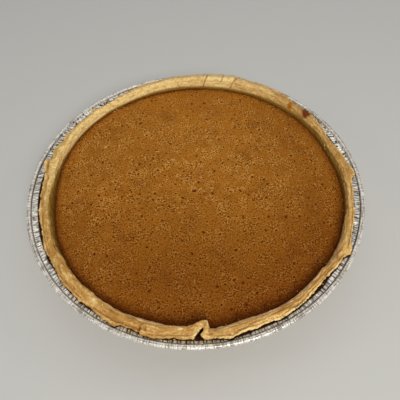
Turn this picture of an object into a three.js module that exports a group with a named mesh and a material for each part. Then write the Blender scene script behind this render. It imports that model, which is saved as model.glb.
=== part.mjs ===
/**
 * A baked pumpkin pie in its own pressed foil pan.
 *
 * Units are millimetres and +Z is up. The origin is on the table, under the middle of the pan.
 * Angles are in degrees, anticlockwise from +X as seen from above, so the pie's front is at 270.
 * Three bodies nest in one another: the foil pan, the pastry shell that lines it and folds over
 * its rim, and the set custard that fills the shell.
 */
import * as THREE from "three";

// Foil pan.
const PAN_RADIUS = 122.5; // over the rolled bead, at its widest
const RIM_HEIGHT = 30.3; // the bead's widest line above the table
const PAN_MOUTH = 114.2; // inside radius where the wall meets the flange
const PAN_FLOOR = 94.5; // inside radius of the flat bottom
const FOIL = 0.5; // wall thickness, a little over real foil
const FLANGE_DROP = 0.6; // how far the flange lies below the bead's widest line
const BEAD_WIDTH = 3.1; // the rolled bead, measured across
const BEAD_RISE = 1.3; // bead's top over its widest line
const BEAD_SAG = 1.6; // bead's underside below that line
const BEAD_SHOULDER = 0.45; // how far the bead's quarter points lie inside its width
const GROOVE = 0.5; // depth of the crease between flange and bead
const CORNER = 1.2; // the small chamfer between bottom and wall
const MOUTH_BEND = 0.6; // the bend between wall and flange

// Pastry shell.
const GAP = 0.35; // clearance between touching bodies
const PASTRY_FLOOR = 3.5; // thickness under the filling
const PASTRY_WALL = 3.6; // thickness beside the filling
const EDGE_RADIUS = 116.5; // outer lip of the folded rim
const SETBACK = 2.3; // the rim's inner shoulder stands this far outside the filling's edge
const CREST_HEIGHT = 5.4; // rim's crest over the bead's widest line
const LIP_HEIGHT = 0.9; // underside of the lip over that line
const LIP_THICKNESS = 1.3;
const LAP = 1.6; // how far the rim rests on the flange
const UPPER_WALL = 6; // depth over which the shell meets the pan's wall

// Filling.
const FILLING_RADIUS = 106.4;
const FILLING_SWAY = 2.5; // the custard lies a little towards the front of the pan
const FILLING_SWAY_ANGLE = 264;
const FILLING_DROP = 2.5; // filling's edge below the bead's widest line
const FILLING_KNEE = 8; // below this depth the filling follows the pan's taper
const FILLING_SWELL = 0.3; // slow unevenness of the baked top
const FILLING_RINGS = [0.28, 0.52, 0.74, 0.9, 0.97]; // shares of its radius

// Each wave is [angle, spread, size]: a smooth hump of that size at that angle.
const EDGE_WAVES = [
  [4, 4, 3.1],
  [16, 15, -3.0],
  [68, 12, 0.9],
  [128, 25, -4.6],
  [169, 5.5, 3.8],
  [186, 24, -2.9],
  [240, 6.5, 1.9],
  [257, 7, 1.2],
  [267.4, 1.4, 1.1],
  [277, 7, 1.1],
  [290.5, 5.5, -1.4],
  [314, 9.5, -3.2],
  [328, 3.5, 2.9],
  [347, 9.5, -1.6],
];
const SETBACK_WAVES = [
  [12, 8, 0.9],
  [160, 35, -0.6],
  [217, 14, -1.8],
  [316, 4, -1.3],
  [334, 9, -2.3],
];
const CREST_WAVES = [
  [78, 24, 2.3],
  [133, 17, -0.4],
  [185, 20, -0.4],
];
const LIFT_WAVES = [
  [169, 5, 0.8],
  [195, 18, 0.6],
  [292, 10, 0.7],
  [313, 10, 1.4],
];
const CREVICE_WAVES = [
  [250, 14, 1.3],
  [284, 7, 0.9],
  [303, 16, 1.4],
];
const FILLING_WAVES = [
  [12, 8, -0.9],
  [62, 25, 1.3],
  [188, 26, -4.2],
  [342, 14, 1.9],
];

// The folded rim from its shoulder to its lip, each point as [share of the way across,
// drop below the crest, share of the crevice's depth].
const RIBBON = [
  [0, 1.0, 0],
  [0.28, 0, 0],
  [0.52, 0.6, 0.3],
  [0.62, 1.4, 1],
  [0.74, 1.9, 0.2],
];

// The pleat at the front, where the folded strip buckles inwards and leaves a notch below it.
const PLEAT_START = 267.8;
const PLEAT_APEX = 271.5;
const PLEAT_END = 272.3;
const PLEAT_NOTCH = 6;
const PLEAT_BULGE = 3.8; // how far the inner shoulder is pushed over the filling
const PLEAT_BULGE_ANGLE = 272.2;
const PLEAT_RUN = 4.2; // spread of the bulge on the pleat's slow side
const PLEAT_RETURN = 1.2; // and on its steep side
const PLEAT_RISE = 1.3;
const PLEAT_LIFT = 1.8;

// The dough patch pressed on at the back, with the seams at its ends and across it.
const PATCH = { from: 71, to: 85, rise: 0.7, inwards: 0.7 };
const SEAMS = [71, 77, 85];
const SEAM_DEPTH = 0.9;
const SEAM_SPREAD = 0.8;

// Where the outline turns quickly the pastry's sections stand closer: [from, to, step].
const COARSE_STEP = 2;
const FINE_SPANS = [
  [0, 8, 1],
  [68, 88, 1],
  [164, 174, 1],
  [264, 276, 0.5],
  [312, 318, 1],
  [324, 332, 1],
];
const PAN_SECTIONS = 108;
const FILLING_SECTIONS = 96;

const FLANGE_TOP = RIM_HEIGHT - FLANGE_DROP;
const FILLING_TOP = RIM_HEIGHT - FILLING_DROP;
const PASTRY_BOTTOM = FOIL + GAP;
const SHELL_FLOOR = PASTRY_BOTTOM + PASTRY_FLOOR;
const KNEE = FILLING_TOP - FILLING_KNEE;
const FILLING_BOTTOM = SHELL_FLOOR + GAP;

const radians = (angle) => (angle * Math.PI) / 180;
const mix = (start, end, share) => start + (end - start) * share;

/** A hump of height 1 at one angle that dies away over `spread` degrees to either side. */
function hump(angle, at, spread) {
  const apart = ((angle - at + 540) % 360) - 180;
  return Math.exp(-((apart / spread) ** 2));
}

/** The sum of a list of waves at one angle. */
function sumOf(waves, angle) {
  return waves.reduce((sum, [at, spread, size]) => sum + size * hump(angle, at, spread), 0);
}

/** A small regular unevenness of about `size`, so that no stretch of pastry is a true circle. */
function unevenness(angle, size) {
  const turn = radians(angle);
  const ripples = Math.sin(11 * turn + 0.7) + 0.7 * Math.sin(19 * turn + 2.1) + 0.6 * Math.sin(31 * turn);
  return size * ripples;
}

/** Share of the pleat's notch at one angle: a slow slope up to the apex and a steep one back. */
function notchShare(angle) {
  const risen = (angle - PLEAT_START) / (PLEAT_APEX - PLEAT_START);
  const fallen = (PLEAT_END - angle) / (PLEAT_END - PLEAT_APEX);
  return Math.max(0, Math.min(risen, fallen));
}

/** Share of the pleat's inward bulge at one angle. */
function bulgeShare(angle) {
  return hump(angle, PLEAT_BULGE_ANGLE, angle < PLEAT_BULGE_ANGLE ? PLEAT_RUN : PLEAT_RETURN);
}

/** 1 on the dough patch at the back, with its ends one degree wide, and 0 elsewhere. */
function patchShare(angle) {
  return THREE.MathUtils.clamp(Math.min(angle - PATCH.from, PATCH.to - angle) + 0.5, 0, 1);
}

/** Depth of the radial seams in the pastry at one angle. */
function seamDepth(angle) {
  return SEAMS.reduce((deepest, at) => Math.max(deepest, SEAM_DEPTH * hump(angle, at, SEAM_SPREAD)), 0);
}

/** Inside radius of the pan's wall at a height. */
function panRadius(height) {
  return mix(PAN_FLOOR, PAN_MOUTH, (height - FOIL) / (FLANGE_TOP - FOIL));
}

/** Radius of the line where the filling's top meets the pastry, at one angle. */
function fillingEdge(angle) {
  const sway = FILLING_SWAY * Math.cos(radians(angle - FILLING_SWAY_ANGLE));
  return FILLING_RADIUS + sway + sumOf(FILLING_WAVES, angle) + unevenness(angle, 0.1);
}

/** Inner face of the pastry shell at a height, at one angle. */
function shellRadius(height, angle) {
  const tapered = panRadius(Math.min(height, KNEE)) - GAP - PASTRY_WALL;
  return height < KNEE ? tapered : mix(tapered, fillingEdge(angle), (height - KNEE) / FILLING_KNEE);
}

/** Section of the foil pan, from the middle of its bottom out to the bead and back underneath. */
function panSection() {
  const beadMiddle = PAN_RADIUS - BEAD_WIDTH / 2;
  const beadInner = PAN_RADIUS - BEAD_WIDTH;
  const wallTop = FLANGE_TOP - MOUTH_BEND;
  const wallFoot = FOIL + CORNER;
  return [
    [0, FOIL],
    [PAN_FLOOR - CORNER, FOIL],
    [panRadius(wallFoot), wallFoot],
    [panRadius(wallTop), wallTop],
    [PAN_MOUTH + MOUTH_BEND, FLANGE_TOP],
    [beadInner - 2 * GROOVE, FLANGE_TOP],
    [beadInner, FLANGE_TOP - GROOVE],
    [beadInner + BEAD_SHOULDER, RIM_HEIGHT + BEAD_RISE / 2],
    [beadMiddle, RIM_HEIGHT + BEAD_RISE],
    [PAN_RADIUS - BEAD_SHOULDER, RIM_HEIGHT + BEAD_RISE / 1.5],
    [PAN_RADIUS, RIM_HEIGHT],
    [PAN_RADIUS - BEAD_SHOULDER, RIM_HEIGHT - BEAD_SAG / 1.5],
    [beadMiddle, RIM_HEIGHT - BEAD_SAG],
    [beadInner - FOIL, RIM_HEIGHT - BEAD_SAG],
    [beadInner - FOIL - 2 * GROOVE, FLANGE_TOP - FOIL],
    [PAN_MOUTH + MOUTH_BEND + FOIL / 2, FLANGE_TOP - FOIL],
    [panRadius(wallTop) + FOIL, wallTop - FOIL / 2],
    [panRadius(wallFoot) + FOIL, wallFoot - FOIL / 2],
    [PAN_FLOOR - CORNER + FOIL / 2, 0],
    [0, 0],
  ];
}

/**
 * Section of the pastry at an angle: from the middle of the floor that the filling lies on, up
 * the shell's inner wall, over the folded rim to its lip, and back down beside the pan.
 */
function pastrySection(angle) {
  const notch = notchShare(angle);
  const bulge = bulgeShare(angle);
  const patch = patchShare(angle);
  const seam = seamDepth(angle);
  const filling = fillingEdge(angle);
  const setback = SETBACK + sumOf(SETBACK_WAVES, angle) + unevenness(angle, 0.08);
  const shoulder = filling + setback - PLEAT_BULGE * bulge - PATCH.inwards * patch + seam;
  const edge = EDGE_RADIUS + sumOf(EDGE_WAVES, angle) + unevenness(angle, 0.12) - PLEAT_NOTCH * notch;
  const rise = CREST_HEIGHT + sumOf(CREST_WAVES, angle) + unevenness(angle + 40, 0.15);
  const crest = RIM_HEIGHT + rise + PLEAT_RISE * bulge + PATCH.rise * patch - seam;
  const crevice = sumOf(CREVICE_WAVES, angle) * (1 - notch);
  const lift = sumOf(LIFT_WAVES, angle) + PLEAT_LIFT * notch;
  const lip = RIM_HEIGHT + LIP_HEIGHT + lift;
  const rest = Math.min(PAN_MOUTH + LAP, edge - LIP_THICKNESS);
  const restHeight = FLANGE_TOP + GAP + lift;
  const ribbon = RIBBON.map(([share, drop, cut]) => [
    mix(shoulder, edge, share),
    crest - drop - cut * crevice,
  ]);
  return [
    [0, SHELL_FLOOR],
    [shellRadius(SHELL_FLOOR, angle), SHELL_FLOOR],
    [shellRadius(KNEE, angle), KNEE],
    [filling, FILLING_TOP],
    [mix(filling, shoulder, 0.5), mix(FILLING_TOP, crest, 0.6)],
    ...ribbon,
    [edge - LIP_THICKNESS / 2, mix(lip, crest, 0.5)],
    [edge, lip + LIP_THICKNESS],
    [edge - LIP_THICKNESS / 2, lip],
    [rest, restHeight],
    [Math.min(PAN_MOUTH, rest - GAP), mix(FLANGE_TOP + GAP, restHeight, 0.5)],
    [Math.min(PAN_MOUTH - 2.5 * GAP, rest - 2 * GAP), FLANGE_TOP - 2.5 * GAP],
    [panRadius(FLANGE_TOP - UPPER_WALL) - 1.2 * GAP, FLANGE_TOP - UPPER_WALL],
    [panRadius(PASTRY_BOTTOM + CORNER) - 1.2 * GAP, PASTRY_BOTTOM + CORNER],
    [PAN_FLOOR - CORNER - GAP, PASTRY_BOTTOM],
    [0, PASTRY_BOTTOM],
  ];
}

/** Height of the custard's top at a point: level at its edge, with slow swells inside. */
function fillingTop(radius, angle) {
  const share = radius / FILLING_RADIUS;
  const turn = radians(angle);
  const swell = share * Math.sin(2 * turn + 0.5) + 0.6 * share * Math.cos(3 * turn + 4 * share);
  return FILLING_TOP - GAP / 2 + FILLING_SWELL * (1 - share ** 4) * (1 + swell);
}

/** Section of the custard at an angle, from the middle of its top down its side and back under. */
function fillingSection(angle) {
  const edge = fillingEdge(angle) - GAP;
  const rings = FILLING_RINGS.map((share) => [share * edge, fillingTop(share * edge, angle)]);
  return [
    [0, fillingTop(0, 0)],
    ...rings,
    [edge, FILLING_TOP - GAP],
    [shellRadius(KNEE, angle) - GAP, KNEE],
    [shellRadius(FILLING_BOTTOM, angle) - GAP, FILLING_BOTTOM],
    [0, FILLING_BOTTOM],
  ];
}

/** The angles at which the pastry's sections stand. */
function pastryAngles() {
  const angles = [];
  let angle = 0;
  while (angle < 360) {
    angles.push(angle);
    const span = FINE_SPANS.find(([from, to]) => angle >= from && angle < to);
    angle += span ? span[2] : COARSE_STEP;
  }
  return angles;
}

/** Evenly spaced angles all round. */
function evenAngles(count) {
  return Array.from({ length: count }, (_, i) => (i * 360) / count);
}

/**
 * A closed body through the sections that `sectionAt` gives at each angle. Every section starts
 * on the axis on the body's top and ends on the axis on its bottom.
 */
function turnedBody(sectionAt, angles) {
  const sections = angles.map((angle) => sectionAt(angle));
  const rings = sections[0].length - 2;
  const positions = [0, 0, sections[0][0][1], 0, 0, sections[0][rings + 1][1]];
  sections.forEach((section, i) => {
    const turn = radians(angles[i]);
    for (const [radius, height] of section.slice(1, -1)) {
      positions.push(radius * Math.cos(turn), radius * Math.sin(turn), height);
    }
  });
  const at = (i, ring) => 2 + (i % angles.length) * rings + ring;
  const index = [];
  for (let i = 0; i < angles.length; i += 1) {
    index.push(0, at(i, 0), at(i + 1, 0));
    for (let ring = 0; ring < rings - 1; ring += 1) {
      index.push(at(i, ring), at(i, ring + 1), at(i + 1, ring + 1));
      index.push(at(i, ring), at(i + 1, ring + 1), at(i + 1, ring));
    }
    index.push(1, at(i + 1, rings - 1), at(i, rings - 1));
  }
  const geometry = new THREE.BufferGeometry();
  geometry.setAttribute("position", new THREE.Float32BufferAttribute(positions, 3));
  geometry.setIndex(index);
  geometry.computeVertexNormals();
  return geometry;
}

/** A named mesh with its own material. */
function piece(name, geometry, color, roughness, metalness) {
  const material = new THREE.MeshStandardMaterial({ color, roughness, metalness });
  const mesh = new THREE.Mesh(geometry, material);
  mesh.name = name;
  return mesh;
}

const foilPan = turnedBody(panSection, evenAngles(PAN_SECTIONS));
const pastryCrust = turnedBody(pastrySection, pastryAngles());
const pumpkinFilling = turnedBody(fillingSection, evenAngles(FILLING_SECTIONS));

const pie = new THREE.Group();
pie.add(piece("foil_pan", foilPan, 0xc9c8c4, 0.3, 1));
pie.add(piece("pastry_crust", pastryCrust, 0xd9ad68, 0.75, 0));
pie.add(piece("pumpkin_filling", pumpkinFilling, 0x8a5216, 0.45, 0));

export default pie;
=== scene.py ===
"""The looks of a baked pumpkin pie in its own pressed foil pan.

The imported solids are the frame. Each is replaced by a finer piece worked out from the same named
sizes: the foil pan with its crimped rim, the pastry shell with its folded, flaky rim, and the set
custard with its pits. Crumbs and loose flakes lie on them.

Sizes in the classes are millimetres and angles are degrees, anticlockwise from +X as seen from
above, so the front of the pie is at 270. Meshes are written in metres.
"""

import logging
import math
from dataclasses import dataclass, field
from enum import Enum
from typing import Any, Callable, Sequence, TypeVar

import bmesh
import bpy
import numpy as np
from mathutils import Matrix, Vector, geometry, noise
from mathutils.bvhtree import BVHTree

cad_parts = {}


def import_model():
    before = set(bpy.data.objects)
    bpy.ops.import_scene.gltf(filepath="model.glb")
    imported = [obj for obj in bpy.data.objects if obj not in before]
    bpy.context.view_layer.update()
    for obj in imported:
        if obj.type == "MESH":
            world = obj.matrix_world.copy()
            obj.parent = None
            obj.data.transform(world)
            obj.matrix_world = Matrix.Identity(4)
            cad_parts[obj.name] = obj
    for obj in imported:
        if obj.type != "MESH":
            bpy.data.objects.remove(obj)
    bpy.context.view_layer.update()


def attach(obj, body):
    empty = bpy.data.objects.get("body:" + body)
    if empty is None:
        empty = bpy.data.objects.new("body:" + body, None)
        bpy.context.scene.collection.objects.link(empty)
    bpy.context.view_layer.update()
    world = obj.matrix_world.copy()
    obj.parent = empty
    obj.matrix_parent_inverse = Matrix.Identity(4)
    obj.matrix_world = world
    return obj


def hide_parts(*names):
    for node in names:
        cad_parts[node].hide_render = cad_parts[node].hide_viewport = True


LOG = logging.getLogger("pie")
MM = 0.001  # in metres
RIM = 115.0  # radius of the circle that patterns round the rim are measured along
Array = np.ndarray
Object = bpy.types.Object
Draw = np.random.Generator
Faces = list[Sequence[int]]
Marks = dict[str, Array]
Colour = tuple[float, float, float, float]
Row = TypeVar("Row")


# ---------------------------------------------------------------- shared form


def each(kind: Callable[..., Row], *rows: Sequence[Any]) -> tuple[Row, ...]:
    """One object of a class for each row of its fields."""
    return tuple(kind(*row) for row in rows)


def mix(start: Any, end: Any, share: Any) -> Any:
    """The value a given share of the way from start to end."""
    return start + (end - start) * share


def limited(value: Array) -> Array:
    """The value kept between 0 and 1."""
    return np.clip(value, 0.0, 1.0)


def ease(value: Array) -> Array:
    """A smooth step from 0 to 1 as the value goes from 0 to 1."""
    share = limited(value)
    return share * share * (3.0 - 2.0 * share)


def fade(value: Array) -> Array:
    """A smooth step from 1 to 0 as the value goes from 0 to 1."""
    return 1.0 - ease(value)


def bell(away: Array, spread: Array | float) -> Array:
    """1 where the distance is 0, dying away smoothly over a spread."""
    return np.exp(-((away / spread) ** 2))


def offset(angles: Array, at: float) -> Array:
    """How far each angle is past another one, from -180 to 180."""
    return (angles - at + 540.0) % 360.0 - 180.0


def hump(angles: Array, at: float, spread: float) -> Array:
    """A hump of height 1 at one angle that dies away over a spread in degrees."""
    return bell(offset(angles, at), spread)


@dataclass(frozen=True)
class Wave:
    """A smooth hump: its angle, its spread, its height and, if it differs, its spread past the angle."""

    angle: float
    spread: float
    size: float
    past: float | None = None

    def at(self, angles: Array) -> Array:
        """The wave's height at each angle."""
        away = offset(angles, self.angle)
        return self.size * bell(away, np.where(away > 0.0, self.past or self.spread, self.spread))


@dataclass(frozen=True)
class Profile:
    """A value that changes round the pie: its usual amount and the waves on it."""

    usual: float
    waves: tuple[Wave, ...]

    def __call__(self, angles: Array) -> Array:
        """The value at each angle."""
        return self.usual + sum(wave.at(angles) for wave in self.waves)


def around(usual: float, *rows: Sequence[float]) -> Profile:
    """A value that changes round the pie, from its usual amount and a row of numbers for each wave."""
    return Profile(usual, each(Wave, *rows))


def unevenness(angles: Array, size: float) -> Array:
    """A small regular unevenness of about a given size, so that no stretch is a true circle."""
    turn = np.radians(angles)
    return size * (np.sin(11 * turn + 0.7) + 0.7 * np.sin(19 * turn + 2.1) + 0.6 * np.sin(31 * turn))


def rim_noise(angles: Array, length: float, layer: Array | float) -> Array:
    """Smooth noise that runs round the pie and meets itself.

    Args:
        angles: angles in degrees.
        length: length of its features along the rim, in millimetres.
        layer: a third coordinate, such as the way across the rim over the features' width.

    Returns:
        Noise from about -1 to 1 for each angle.
    """
    turn = np.radians(angles)
    x, y = np.cos(turn) * RIM / length, np.sin(turn) * RIM / length
    z = np.broadcast_to(layer, angles.shape)
    return np.array([noise.noise(p) for p in zip(x.flat, y.flat, z.flat)]).reshape(angles.shape)


@dataclass(frozen=True)
class Pleat:
    """The fold at the front, where the rim buckles inwards over a notch."""

    start: float = 268.5
    apex: float = 271.6
    end: float = 272.0
    notch: float = 6.0
    flattening: float = 1.8
    bulge: float = 4.9
    bulge_angle: float = 272.2
    run: float = 4.7
    turn_back: float = 0.9
    rise: float = 1.3
    lift: float = 1.8
    lean: float = 1.3
    lean_radius: float = 115.2
    lean_spread: float = 1.7

    def notch_share(self, angles: Array) -> Array:
        """Share of the notch: a slope that flattens towards the apex and a steep one back."""
        risen = 1.0 - limited((self.apex - angles) / (self.apex - self.start)) ** self.flattening
        return limited(np.minimum(risen, (self.end - angles) / (self.end - self.apex)))

    def bulge_share(self, angles: Array) -> Array:
        """Share of the bulge that is pushed over the custard."""
        away = angles - self.bulge_angle
        return np.where(away < 0.0, bell(away, self.run), fade((away - 0.5) / self.turn_back))


@dataclass(frozen=True)
class PieForm:
    """The sizes that pan, pastry and custard share, and the outlines worked out from them."""

    pan_radius: float = 122.5
    rim_height: float = 30.3
    pan_mouth: float = 114.2
    pan_floor: float = 94.5
    foil: float = 0.5
    flange_drop: float = 0.6
    sag: float = 1.3
    sag_inwards: float = 1.2
    sag_angle: float = 85.0
    sag_spread: float = 56.0
    sag_from: float = 0.4
    sag_run: float = 4.4
    corner: float = 1.2
    mouth_bend: float = 0.6
    gap: float = 0.35
    pastry_floor: float = 3.5
    pastry_wall: float = 3.6
    filling_radius: float = 106.4
    filling_sway: float = 2.5
    filling_sway_angle: float = 264.0
    filling_drop: float = 2.5
    filling_knee: float = 8.0
    filling_swell: float = 0.3
    pleat: Pleat = Pleat()
    edge: Profile = around(
        116.5,
        (359.8, 2.1, 2.7, 4.4), (17.8, 10.4, -4.4, 9.3), (42.9, 14.1, -1.6, 1.7), (52.5, 6.5, 1.6),
        (67.9, 12.0, 1.1, 21.4), (114.0, 5.0, 1.0), (132.7, 40.6, -2.7, 6.8), (134.2, 12.3, -5.2, 32.6),
        (138.7, 7.7, 2.8, 1.2), (139.0, 2.5, 1.6), (147.0, 6.0, 0.7), (157.0, 1.9, 1.9, 0.9),
        (164.4, 3.3, 1.9, 1.2), (171.1, 1.9, 3.7, 3.3), (192.8, 2.0, 1.3, 4.0), (194.2, 32.6, -4.3, 17.9),
        (201.4, 0.6, -0.8, 0.6), (232.1, 0.6, 1.0, 0.6), (245.5, 5.1, 2.5, 0.9), (255.4, 5.2, 2.1, 7.5),
        (277.5, 8.5, 1.2, 7.5), (279.2, 1.6, 1.2, 1.4), (287.0, 8.0, 0.1), (296.0, 3.0, 1.0, 6.8),
        (305.0, 12.0, 0.2), (316.7, 15.9, -1.6, 2.9), (326.8, 1.9, 3.0, 4.3), (350.9, 17.4, -2.5, 9.9),
    )
    filling_waves: Profile = around(
        0.0,
        (12.0, 8.0, -0.9), (62.0, 25.0, 1.3), (188.0, 26.0, -4.2), (275.0, 4.0, 1.5), (306.0, 22.0, 1.0),
        (325.0, 9.0, 1.1), (342.0, 14.0, 1.9),
    )

    @property
    def flange_top(self) -> float:
        """Height of the pan's flange."""
        return self.rim_height - self.flange_drop

    @property
    def filling_top(self) -> float:
        """Height of the line where custard and pastry meet."""
        return self.rim_height - self.filling_drop

    @property
    def pastry_bottom(self) -> float:
        """Underside of the pastry shell."""
        return self.foil + self.gap

    @property
    def shell_floor(self) -> float:
        """The shell's floor, under the custard."""
        return self.pastry_bottom + self.pastry_floor

    @property
    def knee(self) -> float:
        """Height below which the custard follows the pan's taper."""
        return self.filling_top - self.filling_knee

    def pan_wall(self, height: float) -> float:
        """Inside radius of the pan's wall at a height."""
        share = (height - self.foil) / (self.flange_top - self.foil)
        return mix(self.pan_floor, self.pan_mouth, share)

    def filling_edge(self, angles: Array) -> Array:
        """Radius of the line where the custard's top meets the pastry."""
        sway = self.filling_sway * np.cos(np.radians(angles - self.filling_sway_angle))
        return self.filling_radius + sway + self.filling_waves(angles) + unevenness(angles, 0.1)

    def pastry_edge(self, angles: Array) -> Array:
        """Outline of the pastry's lip."""
        edge = self.edge(angles) + unevenness(angles, 0.12)
        return edge - self.pleat.notch * self.pleat.notch_share(angles)

    def shell_wall(self, height: float, angles: Array) -> Array:
        """Inner face of the pastry shell.

        Args:
            height: the height to work it out at.
            angles: the angles to work it out at.

        Returns:
            Its radius at each angle.
        """
        tapered = self.pan_wall(min(height, self.knee)) - self.gap - self.pastry_wall
        rise = max(height - self.knee, 0.0) / self.filling_knee
        return mix(np.full_like(angles, tapered), self.filling_edge(angles), rise)

    def custard_height(self, radii: Array, angles: Array) -> Array:
        """Height of the custard's top: level at its edge, with slow swells inside.

        Args:
            radii: radius of each point.
            angles: angle of each point.

        Returns:
            The height at each point.
        """
        share, turn = radii / self.filling_radius, np.radians(angles)
        swell = share * np.sin(2 * turn + 0.5) + 0.6 * share * np.cos(3 * turn + 4 * share)
        return self.filling_top - self.gap / 2 + self.filling_swell * (1 - share**4) * (1 + swell)


# ---------------------------------------------------------------- mesh helpers


def ring_points(radii: Array, angles: Array, heights: Array) -> Array:
    """Points in metres from radii, angles and heights in millimetres and degrees."""
    turn = np.radians(angles)
    return np.stack([radii * np.cos(turn), radii * np.sin(turn), heights], axis=-1) * MM


def plane_points(radii: Array, angles: Array) -> Array:
    """Points in the plane, as x and y in millimetres, from radii and angles."""
    return ring_points(radii, angles, 0.0 * radii)[:, :2] / MM


def polar(points: Array) -> tuple[Array, Array]:
    """Radius and angle of each point, the angle from 0 to 360."""
    x, y = points[:, 0], points[:, 1]
    return np.hypot(x, y), np.degrees(np.arctan2(y, x)) % 360.0


def smooth_curve(points: Array, steps: Sequence[int]) -> tuple[Array, Array]:
    """Rounded curves through rows of points.

    Args:
        points: an array of rows of points, each row one curve's control points.
        steps: how many pieces each stretch between two control points is cut into.

    Returns:
        The points of the curves, and for each of them its place counted in control points.
    """
    gaps = np.sqrt(np.maximum(np.linalg.norm(np.diff(points, axis=1), axis=2, keepdims=True), 1e-6))
    slopes = np.diff(points, axis=1) / gaps
    inner = (slopes[:, :-1] * gaps[:, 1:] + slopes[:, 1:] * gaps[:, :-1]) / (gaps[:, :-1] + gaps[:, 1:])
    tangents = np.concatenate([slopes[:, :1], inner, slopes[:, -1:]], axis=1)
    made, places = [], []
    for span, count in enumerate(steps):
        for step in range(count):
            t = step / count
            start, end, gap = points[:, span], points[:, span + 1], gaps[:, span]
            made.append(
                (2 * t**3 - 3 * t**2 + 1) * start
                + (t**3 - 2 * t**2 + t) * gap * tangents[:, span]
                + (3 * t**2 - 2 * t**3) * end
                + (t**3 - t**2) * gap * tangents[:, span + 1]
            )
            places.append(span + t)
    return np.stack([*made, points[:, -1]], axis=1), np.array([*places, float(len(steps))])


def object_from(name: str, points: Array, faces: Faces) -> Object:
    """A mesh object at the origin and in the scene.

    Args:
        name: the object's name.
        points: its points, in metres.
        faces: its faces.

    Returns:
        The object.
    """
    mesh = bpy.data.meshes.new(name)
    mesh.from_pydata([tuple(p) for p in points], [], faces)
    mesh.validate()
    made = bpy.data.objects.new(name, mesh)
    bpy.context.scene.collection.objects.link(made)
    return made


def closed_rings(rings: Array, top: float, bottom: float) -> tuple[Array, Faces]:
    """Points and faces of a body turned about the axis.

    Args:
        rings: points by angle and by ring, from the top's innermost ring to the bottom's.
        top: height of the pole that closes the first ring, in millimetres.
        bottom: height of the pole that closes the last ring, in millimetres.

    Returns:
        The points, which end with the two poles, and the faces, turned outwards.
    """
    turns, count = rings.shape[:2]
    poles = np.array([[0.0, 0.0, top * MM], [0.0, 0.0, bottom * MM]])
    points = np.concatenate([rings.reshape(-1, 3), poles])
    start = np.arange(turns) * count
    follow = np.roll(start, -1)
    faces: Faces = []
    for ring in range(count - 1):
        faces += np.stack([start + ring, start + ring + 1, follow + ring + 1, follow + ring], axis=1).tolist()
    faces += [[turns * count, a, b] for a, b in zip(start.tolist(), follow.tolist())]
    last = count - 1
    faces += [[turns * count + 1, b + last, a + last] for a, b in zip(start.tolist(), follow.tolist())]
    return points, faces


def store(made: Object, marks: Marks) -> None:
    """Stores numbers for the piece's material to read.

    Args:
        made: the piece.
        marks: by name, one number a vertex. The vertices after the last number get 0.
    """
    for name, given in marks.items():
        filled = np.zeros(len(made.data.vertices), np.float32)
        filled[: given.size] = given.ravel()
        made.data.attributes.new(name, "FLOAT", "POINT").data.foreach_set("value", filled)


def active() -> Object:
    """The object that is active, such as one that an operator has just made."""
    return bpy.context.view_layer.objects.active


def pick(*chosen: Object) -> None:
    """Selects the given objects and nothing else.

    Args:
        chosen: the objects, of which the last becomes the active one.
    """
    bpy.ops.object.select_all(action="DESELECT")
    for made in chosen:
        made.select_set(True)
        bpy.context.view_layer.objects.active = made


def dress(made: Object, material: bpy.types.Material, slot: str, *nodes: str) -> None:
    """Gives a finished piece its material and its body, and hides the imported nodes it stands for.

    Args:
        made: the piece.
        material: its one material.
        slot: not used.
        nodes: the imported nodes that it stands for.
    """
    made.data.materials.clear()
    made.data.materials.append(material)
    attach(made, "root")
    if nodes:
        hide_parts(*nodes)
    LOG.info("%s: %d faces", made.name, len(made.data.polygons))


# ---------------------------------------------------------------- shader helpers


def srgb(red: int, green: int, blue: int) -> Colour:
    """A linear colour from the eight-bit values it has on a screen."""
    shares = (part / 255 for part in (red, green, blue))
    return (*(s / 12.92 if s <= 0.04045 else ((s + 0.055) / 1.055) ** 2.4 for s in shares), 1.0)


@dataclass(frozen=True)
class Link:
    """A node's output that can be used in a Python expression."""

    graph: "Graph"
    socket: bpy.types.NodeSocket

    def __add__(self, other: Any) -> "Link":
        """self + other."""
        return self.graph.math("ADD", self, other)

    def __radd__(self, other: Any) -> "Link":
        """other + self."""
        return self.graph.math("ADD", other, self)

    def __sub__(self, other: Any) -> "Link":
        """self - other."""
        return self.graph.math("SUBTRACT", self, other)

    def __rsub__(self, other: Any) -> "Link":
        """other - self."""
        return self.graph.math("SUBTRACT", other, self)

    def __mul__(self, other: Any) -> "Link":
        """self * other."""
        return self.graph.math("MULTIPLY", self, other)

    def __rmul__(self, other: Any) -> "Link":
        """other * self."""
        return self.graph.math("MULTIPLY", other, self)

    def above(self, edge: float, width: float) -> "Link":
        """0 below the edge and 1 from a width above it, with a smooth step between."""
        inputs = {"Value": self, "From Min": edge, "From Max": edge + width, "To Min": 0.0, "To Max": 1.0}
        return self.graph.node("ShaderNodeMapRange", {"interpolation_type": "SMOOTHSTEP"}, inputs)

    def below(self, edge: float, width: float) -> "Link":
        """1 below the edge less a width and 0 above the edge, with a smooth step between."""
        return 1.0 - self.above(edge - width, width)


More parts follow.
